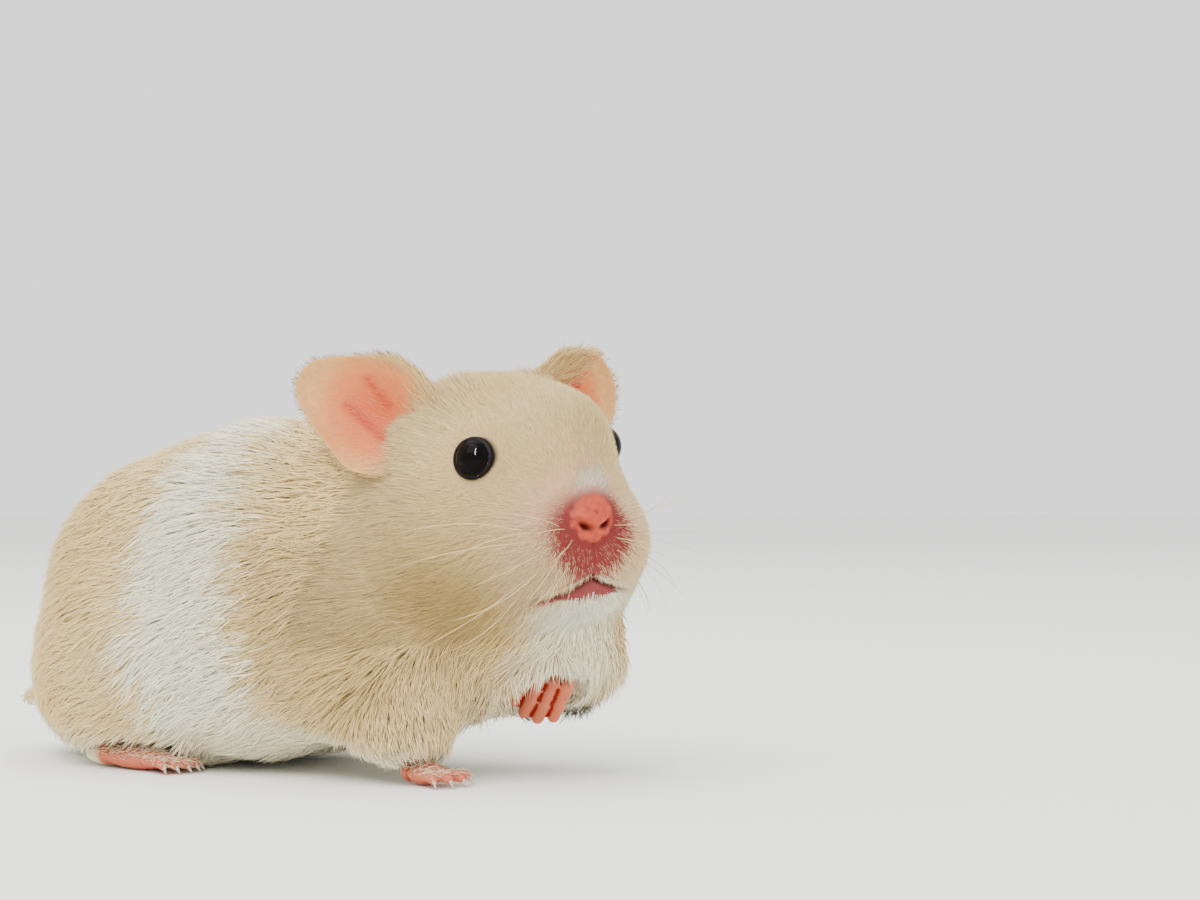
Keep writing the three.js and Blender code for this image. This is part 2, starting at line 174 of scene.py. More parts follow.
@dataclass(frozen=True)
class Patch:
    """A soft round patch: its middle, where it starts and is full, and how much each axis counts."""

    middle: tuple[float, float, float]
    start: float
    full: float
    weights: tuple[float, float, float] = (1.0, 1.0, 1.0)

    def reach(self, points: Array) -> Array:
        """How far points are from the middle, with the axes weighed."""
        return np.linalg.norm((points - np.array(self.middle)) * self.weights, axis=1)

    def share(self, points: Array) -> Array:
        """How much each point belongs to the patch, from 0 to 1."""
        return step(self.start, self.full, self.reach(points))


def box_of(node: str) -> tuple[Array, Array]:
    """The lowest and highest corner of a CAD node, in millimetres."""
    low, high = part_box(node)
    return np.array(low) / MM, np.array(high) / MM


def middle_of(node: str) -> Array:
    """The middle of a CAD node's box, in millimetres."""
    low, high = box_of(node)
    return (low + high) / 2


def outside(node: str, points: Array) -> Array:
    """How far points are outside a CAD node's box, and under 0 inside it."""
    low, high = box_of(node)
    return np.maximum(low - points, points - high).max(axis=1)


# ---------------------------------------------------------------- meshes
def points_of(mesh: bpy.types.Mesh) -> Array:
    """The places of a mesh's vertices."""
    places = np.empty(len(mesh.vertices) * 3, np.float32)
    mesh.vertices.foreach_get("co", places)
    return places.reshape(-1, 3).astype(float)


def normals_of(mesh: bpy.types.Mesh) -> Array:
    """The normals at a mesh's vertices."""
    normals = np.empty(len(mesh.vertices) * 3, np.float32)
    mesh.vertices.foreach_get("normal", normals)
    return normals.reshape(-1, 3).astype(float)


def move_points(mesh: bpy.types.Mesh, places: Array) -> None:
    """Puts a mesh's vertices at new places."""
    mesh.vertices.foreach_set("co", places.astype(np.float32).ravel())
    mesh.update()


def hollows(mesh: bpy.types.Mesh, passes: int = 2) -> Array:
    """How hollow a mesh is at each vertex.

    Args:
        mesh: the mesh.
        passes: how many times the result is evened out.

    Returns:
        The mean curvature in 1/mm, over 0 in creases and under 0 on ridges.
    """
    points, normals = points_of(mesh), normals_of(mesh)
    ends = np.empty(2 * len(mesh.edges), np.int32)
    mesh.edges.foreach_get("vertices", ends)
    a, b = ends.reshape(-1, 2).T
    away = points[b] - points[a]
    count = len(points)
    square = dots(away, away)
    squares = np.bincount(a, square, count) + np.bincount(b, square, count)
    rise = np.bincount(a, dots(away, normals[a]), count) - np.bincount(b, dots(away, normals[b]), count)
    bend = 2 * rise / np.maximum(squares, 1e-9)
    links = np.maximum(np.bincount(a, minlength=count) + np.bincount(b, minlength=count), 1)
    for _ in range(passes):
        bend = 0.5 * bend + 0.5 * (np.bincount(a, bend[b], count) + np.bincount(b, bend[a], count)) / links
    return bend


def triangles_of(mesh: bpy.types.Mesh) -> Array:
    """The vertex numbers of a mesh's triangles."""
    mesh.calc_loop_triangles()
    corners = np.empty(len(mesh.loop_triangles) * 3, np.int32)
    mesh.loop_triangles.foreach_get("vertices", corners)
    return corners.reshape(-1, 3)


def object_of(name: str, bm: bmesh.types.BMesh) -> bpy.types.Object:
    """A new object with a bmesh's mesh; the bmesh is freed."""
    mesh = bpy.data.meshes.new(name)
    bm.to_mesh(mesh)
    bm.free()
    made = bpy.data.objects.new(name, mesh)
    bpy.context.scene.collection.objects.link(made)
    return made


def apply_modifiers(obj: bpy.types.Object) -> None:
    """Makes an object's modifiers part of its mesh."""
    bpy.context.view_layer.update()
    evaluated = obj.evaluated_get(bpy.context.evaluated_depsgraph_get())
    mesh = bpy.data.meshes.new_from_object(evaluated)
    obj.modifiers.clear()
    old, obj.data = obj.data, mesh
    bpy.data.meshes.remove(old)


def remesh(obj: bpy.types.Object, cell: float) -> None:
    """Makes one even closed surface of everything in an object.

    Args:
        obj: the object, whose closed shells may overlap.
        cell: the length of the new faces' sides.
    """
    modifier = obj.modifiers.new("Remesh", "REMESH")
    modifier.mode = "VOXEL"
    modifier.voxel_size = cell
    apply_modifiers(obj)


def weigh(obj: bpy.types.Object, weights: Array) -> str:
    """Gives an object a vertex group with a weight for each vertex, and returns its name."""
    name = "Share"
    old = obj.vertex_groups.get(name)
    if old:
        obj.vertex_groups.remove(old)
    group = obj.vertex_groups.new(name=name)
    levels = np.round(np.clip(weights, 0, 1) * 20).astype(int)
    for level in range(1, 21):
        group.add(np.flatnonzero(levels == level).tolist(), level / 20, "REPLACE")
    return name


def smooth(obj: bpy.types.Object, times: int, weights: Array | None = None) -> None:
    """Evens out an object's surface.

    Args:
        obj: the object.
        times: how many passes.
        weights: how much each vertex takes part, from 0 to 1; all of them fully when left out.
    """
    modifier = obj.modifiers.new("Smooth", "SMOOTH")
    modifier.factor = 0.5
    modifier.iterations = times
    if weights is not None:
        modifier.vertex_group = weigh(obj, weights)
    apply_modifiers(obj)


def thin_out(obj: bpy.types.Object, share: float, weights: Array) -> None:
    """Merges faces down to a share of them, most where the weights are high."""
    modifier = obj.modifiers.new("Thin", "DECIMATE")
    modifier.ratio = share
    modifier.vertex_group = weigh(obj, weights)
    apply_modifiers(obj)


def unite(obj: bpy.types.Object, other: bpy.types.Object) -> None:
    """Joins another closed object into this one as one solid, and removes the other."""
    modifier = obj.modifiers.new("Unite", "BOOLEAN")
    modifier.operation = "UNION"
    modifier.solver = "MANIFOLD"
    modifier.object = other
    before = len(obj.data.vertices)
    apply_modifiers(obj)
    log.info("  %s joins the skin: %d vertices and then %d", other.name, before, len(obj.data.vertices))
    bpy.data.objects.remove(other)


def ball(
    bm: bmesh.types.BMesh, centre: Array, radii: Array, detail: int = 3, turn: Matrix | None = None
) -> None:
    """Adds an ellipsoid.

    Args:
        bm: the bmesh it goes into.
        centre: its middle.
        radii: its three half sizes.
        detail: how often its faces are divided.
        turn: a rotation about its middle, if any.
    """
    place = Matrix.Translation(Vector(centre))
    if turn is not None:
        place = place @ turn.to_4x4()
    place = place @ Matrix.Diagonal((*radii, 1.0))
    bmesh.ops.create_icosphere(bm, subdivisions=detail, radius=1.0, matrix=place)


def string_of_balls(bm: bmesh.types.BMesh, start: Array, end: Array, radii: tuple[float, float]) -> None:
    """Adds balls from one point to another, close enough together to melt into a limb.

    Args:
        bm: the bmesh they go into.
        start: the middle of the first.
        end: the middle of the last.
        radii: the radius of the first and of the last.
    """
    start, end = np.asarray(start, float), np.asarray(end, float)
    count = max(2, math.ceil(np.linalg.norm(end - start) / (0.35 * min(radii))))
    for t in np.linspace(0, 1, count):
        ball(bm, mix(start, end, t), [mix(radii[0], radii[1], t)] * 3, detail=2)


def finish_piece(obj: bpy.types.Object, material: bpy.types.Material, slot: Slot) -> None:
    """Scales a piece to metres, paints it and lets it ride on the animal's one body.

    Args:
        obj: the piece.
        material: its material.
        slot: the record's slot that its finish belongs to.
    """
    obj.data.transform(Matrix.Scale(MM, 4))
    obj.data.materials.clear()
    obj.data.materials.append(material)
    obj.data.polygons.foreach_set("use_smooth", np.ones(len(obj.data.polygons), bool))
    obj.data.update()
    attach(obj, "root")
    log.info("%s: %d faces, %s", obj.name, len(obj.data.polygons), slot.value)


def paint(mesh: bpy.types.Mesh, colours: Array) -> None:
    """Gives a mesh its colour attribute, one colour for each vertex."""
    layer = mesh.color_attributes.new(TONE, "FLOAT_COLOR", "POINT")
    full = np.ones((len(colours), 4), np.float32)
    full[:, :3] = np.clip(colours, 0, 1)
    layer.data.foreach_set("color", full.ravel())


# ---------------------------------------------------------------- finishes
@dataclass(frozen=True)
class Finish:
    """A finish whose colour comes from the piece's colour attribute, with a fine grain of its own."""

    name: str
    roughness: float
    grain: float = 0.0  # how far the grain lightens and darkens the colour
    grain_scale: float = 900.0
    bump: float = 0.0
    sheen: float = 0.0
    glow: float = 0.0  # light that passes through the surface
    glow_reach: float = 0.0008
    specular: float = 0.5

    def material(self) -> bpy.types.Material:
        """The finish as a material.

        Returns:
            A new material that reads the colour attribute.
        """
        made = bpy.data.materials.new(self.name)
        made.use_nodes = True
        nodes, links = made.node_tree.nodes, made.node_tree.links
        shader = nodes["Principled BSDF"]
        shader.inputs["Roughness"].default_value = self.roughness
        shader.inputs["Specular IOR Level"].default_value = self.specular
        shader.inputs["Sheen Weight"].default_value = self.sheen
        shader.inputs["Sheen Roughness"].default_value = 0.5
        shader.inputs["Subsurface Weight"].default_value = self.glow
        shader.inputs["Subsurface Scale"].default_value = self.glow_reach
        shader.inputs["Subsurface Radius"].default_value = (1.0, 0.45, 0.3)
        colour = nodes.new("ShaderNodeAttribute")
        colour.attribute_name = TONE
        place = nodes.new("ShaderNodeTexCoord")
        noise = nodes.new("ShaderNodeTexNoise")
        noise.inputs["Scale"].default_value = self.grain_scale
        noise.inputs["Detail"].default_value = 3.0
        links.new(place.outputs["Object"], noise.inputs["Vector"])
        spread = nodes.new("ShaderNodeMapRange")
        spread.inputs["From Min"].default_value = 0.3
        spread.inputs["From Max"].default_value = 0.7
        spread.inputs["To Min"].default_value = 1 - self.grain
        spread.inputs["To Max"].default_value = 1 + self.grain
        links.new(noise.outputs["Fac"], spread.inputs["Value"])
        shade = nodes.new("ShaderNodeVectorMath")
        shade.operation = "SCALE"
        links.new(colour.outputs["Color"], shade.inputs["Vector"])
        links.new(spread.outputs["Result"], shade.inputs["Scale"])
        links.new(shade.outputs["Vector"], shader.inputs["Base Color"])
        if self.bump:
            bump = nodes.new("ShaderNodeBump")
            bump.inputs["Strength"].default_value = self.bump
            bump.inputs["Distance"].default_value = 0.0002
            links.new(noise.outputs["Fac"], bump.inputs["Height"])
            links.new(bump.outputs["Normal"], shader.inputs["Normal"])
        return made


@dataclass(frozen=True)
class Gloss:
    """A plain wet or polished finish of one colour."""

    name: str
    colour: tuple[float, float, float]
    roughness: float
    specular: float = 0.5

    def material(self) -> bpy.types.Material:
        """The finish as a material."""
        made = bpy.data.materials.new(self.name)
        made.use_nodes = True
        shader = made.node_tree.nodes["Principled BSDF"]
        shader.inputs["Base Color"].default_value = (*self.colour, 1.0)
        shader.inputs["Roughness"].default_value = self.roughness
        shader.inputs["Specular IOR Level"].default_value = self.specular
        return made


# ---------------------------------------------------------------- the head's own frame
@dataclass(frozen=True)
class HeadFrame:
    """The frame between the eyes: x to the animal's left, y to the back of its head, z up."""

    origin: Array
    axes: Array  # its x, y and z as rows

    @classmethod
    def between_the_eyes(cls) -> "HeadFrame":
        """The frame that the two CAD eyes give."""
        left, right = middle_of("eye_left"), middle_of("eye_right")
        across = unit(left - right)
        back = unit(np.cross(UP, across))
        return cls((left + right) / 2, np.array([across, back, np.cross(across, back)]))

    def read(self, points: Array) -> Array:
        """Points of the part, in the head's frame."""
        return (points - self.origin) @ self.axes.T

    def place(self, points: Array) -> Array:
        """Points of the head's frame, in the part's."""
        return np.asarray(points, float) @ self.axes + self.origin

    def turn_in(self, vectors: Array) -> Array:
        """Directions of the part, in the head's frame."""
        return vectors @ self.axes.T


# ---------------------------------------------------------------- the face's plan
@dataclass(frozen=True)
class Face:
    """Where the features of the face are, in the head's frame."""

    head: HeadFrame
    eye_spread: float = 10.0
    eyeball: float = 3.0
    lid_opening: float = 51.0  # degrees from the gaze to the lid's edge
    lid_thickness: float = 0.24
    gaze: tuple[float, float, float] = (0.84, -0.5, 0.2)
    nose: tuple[float, float, float] = (0.0, -9.3, -8.5)
    nose_size: tuple[float, float, float] = (3.4, 2.35, 3.1)
    nostril: tuple[float, float] = (1.7, -1.0)  # across and up from the nose's middle
    nostril_slant: float = 0.5  # radians that its outer end rises
    mouth_middle: float = -15.9  # z of the mouth's line there
    mouth_corner: tuple[float, float] = (8.4, -18.6)  # x and z
    ear_fronts: tuple[Patch, ...] = (Patch((7.0, 8.5, 6.5), 5, 1.5), Patch((-7.5, 5.0, 7.0), 5, 1.5))
    lips: tuple[float, float] = (1.15, 0.48)  # half of the opening, at the middle and towards the corners
    blaze: Patch = Patch((0.4, -9.6, -5.2), 3.4, 1.4, (0.9, 0.6, 1.0))  # the white patch over the nose
    pads: Patch = Patch((6.5, -6.5, -12.5), 5.5, 1.5)  # the full pads that the whiskers grow on

    def eye(self, side: Side) -> Array:
        """The middle of an eye, in the head's frame."""
        return np.array([side.value * self.eye_spread, 0.0, 0.0])

    def from_eyes(self, spots: Array) -> Array:
        """How far points of the head's frame are from the middle of the nearer eye."""
        return np.minimum.reduce([np.linalg.norm(spots - self.eye(side), axis=1) for side in Side])

    def from_nose(self, spots: Array) -> Array:
        """How far points are from the nose's middle, as a share of its half size; 1 on its surface."""
        return np.linalg.norm((spots - self.nose) / self.nose_size, axis=1)

    def gaze_of(self, side: Side) -> Array:
        """The way an eye looks, in the head's frame."""
        return unit(np.array(self.gaze) * [side.value, 1, 1])

    def mouth_line(self, spots: Array) -> Array:
        """How high the mouth's line is at points of the head's frame."""
        share = np.clip(np.abs(spots[:, 0]) / self.mouth_corner[0], 0, 1.3)
        return mix(self.mouth_middle, self.mouth_corner[1], share ** 0.85)

    def from_mouth(self, spots: Array) -> Array:
        """How far points are from the mouth's line, as a share of the lips' opening there.

        Args:
            spots: points of the head's frame.

        Returns:
            0 on the line, 1 at the lips' edges, and more outside.
        """
        x, corner = np.abs(spots[:, 0]), self.mouth_corner[0]
        opening = mix(self.lips[0], self.lips[1], step(0.1, 0.6, x / corner))
        under = spots[:, 2] - self.mouth_line(spots) + 0.8 * opening
        front = step(1.0, -3.0, spots[:, 1])
        return np.hypot(under, np.maximum(x - corner, 0)) / opening + 20 * (1 - front)

    def from_slit(self, spots: Array) -> Array:
        """How far below the upper lip's edge points of the head's frame are."""
        return self.mouth_line(spots) - spots[:, 2]

    def nostrils(self, spots: Array) -> Array:
        """How deep in a nostril each point of the head's frame lies, from 0 to 1."""
        nose = spots - self.nose
        x, z = np.abs(nose[:, 0]) - self.nostril[0], nose[:, 2] - self.nostril[1]
        along = x * math.cos(self.nostril_slant) + z * math.sin(self.nostril_slant)
        over = z * math.cos(self.nostril_slant) - x * math.sin(self.nostril_slant) - 0.18 * along ** 2
        front = step(0.6, -0.4, nose[:, 1])
        return np.exp(-((along / 1.1) ** 2 + (over / 0.42) ** 2)) * front

    def lid(self, spots: Array, side: Side) -> tuple[Array, Array]:
        """Where points lie round an eye.

        Args:
            spots: points of the head's frame.
            side: which eye.

        Returns:
            Their distances from its middle, and their angles from its gaze in degrees.
        """
        away = spots - self.eye(side)
        slant = np.degrees(np.arccos(np.clip(dots(unit(away), self.gaze_of(side)), -1, 1)))
        return np.linalg.norm(away, axis=1), slant

    def rim(self, spots: Array, slant: Array) -> Array:
        """How many degrees points are outside a lid's edge, less where its bare rim is wider in front."""
        return slant - self.lid_opening - 5 * step(0.0, -2.0, spots[:, 1]) * step(-2.5, 0.5, spots[:, 2])


# ---------------------------------------------------------------- the coat's plan
@dataclass(frozen=True)
class Markings:
    """The colours of skin and coat, as a function of the place on the animal."""

    head: HeadFrame
    face: Face
    cream: Array = painted(230, 196, 128)
    pale_cream: Array = painted(240, 214, 158)
    tan: Array = painted(184, 150, 80)
    white: Array = painted(252, 245, 216)
    blaze: Array = painted(255, 253, 242)
    belly: Array = painted(248, 236, 202)
    muzzle: Array = painted(236, 200, 156)
    skin_pink: Array = painted(226, 158, 130)
    skin_deep: Array = painted(124, 47, 45)
    skin_body: Array = painted(214, 172, 148)
    nose_pink: Array = painted(196, 82, 58)
    lip: Array = painted(132, 60, 58)
    # painted shade: the near black red of the mouth's slit and the nostrils, openings where little light
    # reaches
    hollow_shade: Array = painted(70, 12, 16)
    lid: Array = painted(16, 10, 10)
    paw: Array = painted(198, 110, 82)
    # painted shade: the dark red that the paws take in their creases
    crease: Array = painted(132, 24, 8)
    shoulder: Patch = Patch((17, -24, 24), 14, 5, (0.8, 0.6, 0.75))
    cheek: Patch = Patch((12, 3, -17), 10, 1, (1.0, 0.6, 1.0))
    brow: Patch = Patch((0, 2, 8), 9, 2, (0.7, 0.6, 1.0))
    muzzle_pad: Patch = Patch((4, -7, -12), 9, 4, (0.9, 1.0, 0.8))
    chin: Patch = Patch((0, -8, -20), 8.5, 3.0, (0.9, 0.8, 1.1))
    bare_snout: Patch = Patch((0, -9.5, -11.0), 8.5, 4.5, (0.85, 1.0, 1.0))
    band_front: tuple[float, float] = (-13.1, 0.216)  # y on the floor, and its rise with z
    band_rear: tuple[float, float, float] = (9.9, 0.0125, 22.0)  # y at its furthest, its bend, and that z
    breast_middle: float = 3.5  # x of the white breast
    ragged: float = 1.6  # how far hairs carry the band's edges to and fro

    def band(self, points: Array) -> Array:
        """How much of the white band shows at each point, from 0 to 1."""
        y = points[:, 1] + self.ragged * ripple(points * [1, 0.6, 1.5], 4.0, 11)
        z = points[:, 2]
        front = self.band_front[0] + self.band_front[1] * z
        rear = self.band_rear[0] - self.band_rear[1] * (z - self.band_rear[2]) ** 2
        inside = step(-0.8, 1.2, y - front) * step(1.2, -0.8, y - rear)
        spine = step(5.0, 1.0, np.abs(points[:, 0])) * step(44, 47, z)
        return inside * (1 - 0.75 * spine)

    def coat(self, points: Array, normals: Array) -> Array:
        """The coat's colours.

        Args:
            points: places on the skin.
            normals: the skin's normals there.

        Returns:
            A linear colour for each point.
        """
        spots = self.head.read(points)
        face_side = mirrored(spots)
        patches = np.clip(0.5 + 0.5 * ripple(points, 15.0, 3), 0, 1)
        colour = blend(self.cream, self.pale_cream, 0.6 * patches)
        shoulder = self.shoulder.share(mirrored(points - [1, 0, 0]))
        saddle = step(12, 26, points[:, 1]) * step(16, 34, points[:, 2]) * (0.4 + 0.6 * patches)
        # the cheek and shoulder patches are partly the coat's own tan and partly painted shade under the
        # cheek
        dark = 0.5 * shoulder + 0.65 * self.cheek.share(face_side) + 0.3 * self.brow.share(spots)
        colour = blend(colour, self.tan, np.clip(dark + 0.35 * saddle, 0, 0.9))
        colour = blend(colour, self.muzzle, 0.75 * self.muzzle_pad.share(face_side))
        colour = blend(colour, self.blaze, self.face.blaze.share(spots))
        colour = blend(colour, self.white, self.band(points))
        throat = step(16, 8, spots[:, 1]) * step(-33, -27, spots[:, 2])
        under = step(-0.3, -0.75, normals[:, 2]) + 0.6 * step(9, 4, points[:, 2])
        under = np.clip(under, 0, 1) * (1 - throat)
        from_breast = np.abs(points[:, 0] - self.breast_middle) + ripple(points, 3.0, 13)
        breast = step(-27, -34, points[:, 1]) * step(29, 22, points[:, 2]) * step(11, 3, from_breast)
        colour = blend(colour, self.belly, np.maximum(under, breast))
        from_chin = self.chin.reach(spots) + ripple(points, 3.0, 12)
        chin = step(self.chin.start, self.chin.full, from_chin) * step(-0.2, 0.8, self.face.from_slit(spots))
        return blend(colour, self.white, chin)

    def skin(self, points: Array, normals: Array) -> Array:
        """The bare skin's colours, with the coat's markings under the coat.

        Args:
            points: places on the skin.
            normals: the skin's normals there.

        Returns:
            A linear colour for each point.
        """
        spots = self.head.read(points)
        on_head = step(16, 8, spots[:, 1]) * step(-24, -21, spots[:, 2])
        colour = blend(self.coat(points, normals) * 0.85, self.skin_body, 0.2)
        near_eye = self.face.from_eyes(spots)
        colour = blend(colour, self.skin_pink, 0.6 * on_head * step(4, 7, near_eye))
        # painted shade: the bare skin round the eyes darkened to match the shade within the fur beside it
        colour = colour * (0.72 + 0.28 * step(3.8, 6.5, near_eye))[:, None]
        colour = blend(colour, self.skin_deep, self.bare_snout.share(spots))
        pad = step(1.12, 1.0, self.face.from_nose(spots) + 0.04 * ripple(spots, 1.2, 60))
        colour = blend(colour, self.nose_pink, pad * (0.85 + 0.15 * ripple(spots, 0.7, 61)))
        mouth = self.face.from_mouth(spots)
        colour = blend(colour, self.lip, step(2.4, 1.2, mouth) * step(9.5, 5, np.abs(spots[:, 0])))
        # painted shade: the mouth's slit and the nostrils darkened as openings in shade
        slit = np.exp(-(((self.face.from_slit(spots) - 0.3) / 0.35) ** 2)) * step(1.6, 1.0, mouth)
        colour = blend(colour, self.hollow_shade, 0.6 * slit)
        colour = blend(colour, self.hollow_shade, np.clip(1.3 * self.face.nostrils(spots), 0, 1))
        for side in Side:
            radius, slant = self.face.lid(spots, side)
            rim = step(16, 8, self.face.rim(spots, slant)) * (radius < 5)
            colour = blend(colour, self.lid, rim)
        return colour


@dataclass(frozen=True)
class Lie:
    """How the coat lies: its way, length, lift and depth at each place."""

    head: HeadFrame
    face: Face
    body_length: float = 7.6
    face_length: tuple[float, float] = (1.1, 4.6)  # at the nose, and behind the cheeks
    leg_length: float = 3.6
    belly_length: float = 6.0
    fist_length: float = 1.5
    depth_share: float = 0.36  # of the length that stands over the skin
    right_foreleg: Patch = Patch((-13, -26, 6), 9, 6, (1.0, 1.0, 0.7))
    left_foreleg: Patch = Patch((6, -36.5, 14.5), 9, 5)
    fist: Patch = Patch((2.2, -37.8, 11.4), 8, 5)  # where the raised paw hangs
    whisker_pad: Patch = Patch((6, -7, -12), 8, 3)

    def on_head(self, points: Array) -> Array:
        """How much each point belongs to the head, from 0 to 1."""
        spots = self.head.read(points)
        return step(20, 11, spots[:, 1]) * step(-25, -20, spots[:, 2])

    def on_legs(self, points: Array) -> Array:
        """How much each point belongs to the low part of a leg, from 0 to 1."""
        hind = step(7, 3, points[:, 2]) * step(12, 9, np.abs(np.abs(points[:, 0]) - 15)) * (points[:, 1] > 5)
        return np.maximum.reduce([self.right_foreleg.share(points), self.left_foreleg.share(points), hind])

    def length(self, points: Array) -> Array:
        """The hairs' length at each point."""
        spots = self.head.read(points)
        from_nose = np.linalg.norm((spots - self.face.nose) * [1, 1, 0.8], axis=1)
        shortest, longest = self.face_length
        on_face = shortest + (longest - shortest) * step(1, 27, from_nose)
        on_face = on_face + 0.8 * self.face.blaze.share(spots)
        on_face = on_face * (0.42 + 0.58 * step(3.4, 7.5, self.face.from_eyes(spots)))
        body = mix(self.body_length, self.belly_length, step(12, 5, points[:, 2]))
        body = mix(body, 1.3, step(42, 45, points[:, 1]) * step(15, 11, points[:, 2]))
        length = mix(body, on_face, self.on_head(points))
        length = mix(length, self.leg_length, self.on_legs(points))
        return mix(length, self.fist_length, self.fist.share(points))

    def crown(self, points: Array) -> Array:
        """How much each point belongs to the head's top, from 0 to 1."""
        return self.on_head(points) * step(1, 7, self.head.read(points)[:, 2])

    def before_ears(self, points: Array) -> Array:
        """How much each point belongs to the loose tufts in front of the ears, from 0 to 1."""
        spots = self.head.read(points)
        return np.maximum.reduce([front.share(spots) for front in self.face.ear_fronts])

    def depth(self, points: Array) -> Array:
        """The coat's depth at each point, under the tips' surface."""
        return self.depth_share * self.length(points) * (1 - 0.5 * self.crown(points))

    def lift(self, points: Array) -> Array:
        """How many degrees the hairs stand over the skin at each point."""
        pad = self.whisker_pad.share(mirrored(self.head.read(points)))
        on_face = 27 + 10 * self.crown(points) + 10 * pad
        return mix(mix(34, on_face, self.on_head(points)), 64, self.before_ears(points))

    def way(self, points: Array, normals: Array) -> Array:
        """The way the hairs lie along the skin.

        Args:
            points: their roots.
            normals: the skin's normals there.

        Returns:
            A unit vector along the skin for each root.
        """
        nose = self.head.place(self.face.nose)
        from_nose = unit(points - nose)
        flank = np.abs(normals[:, 0])
        rump = step(24, 44, points[:, 1])
        body = np.stack([0 * flank, 1.0 - 0.4 * rump, -0.5 * flank - 1.1 * rump], axis=1)
        chest = step(-24, -34, points[:, 1]) * step(32, 25, points[:, 2])
        down_chest = np.sign(points[:, :1]) * [0.35, 0.0, 0.0] - UP
        way = blend(blend(body, down_chest, chest), from_nose, self.on_head(points))
        way = blend(way, np.array([0.0, -0.15, -1.0]), self.on_legs(points))
        for side in Side:
            from_eye = points - self.head.place(self.face.eye(side))
            near = step(6.5, 3.4, np.linalg.norm(from_eye, axis=1))
            way = way + 1.4 * near[:, None] * unit(from_eye)
        for axis in range(3):
            way[:, axis] += 0.16 * ripple(points, 9.0, 40 + axis) + 0.1 * ripple(points, 3.5, 50 + axis)
        return laid_on(way, normals)


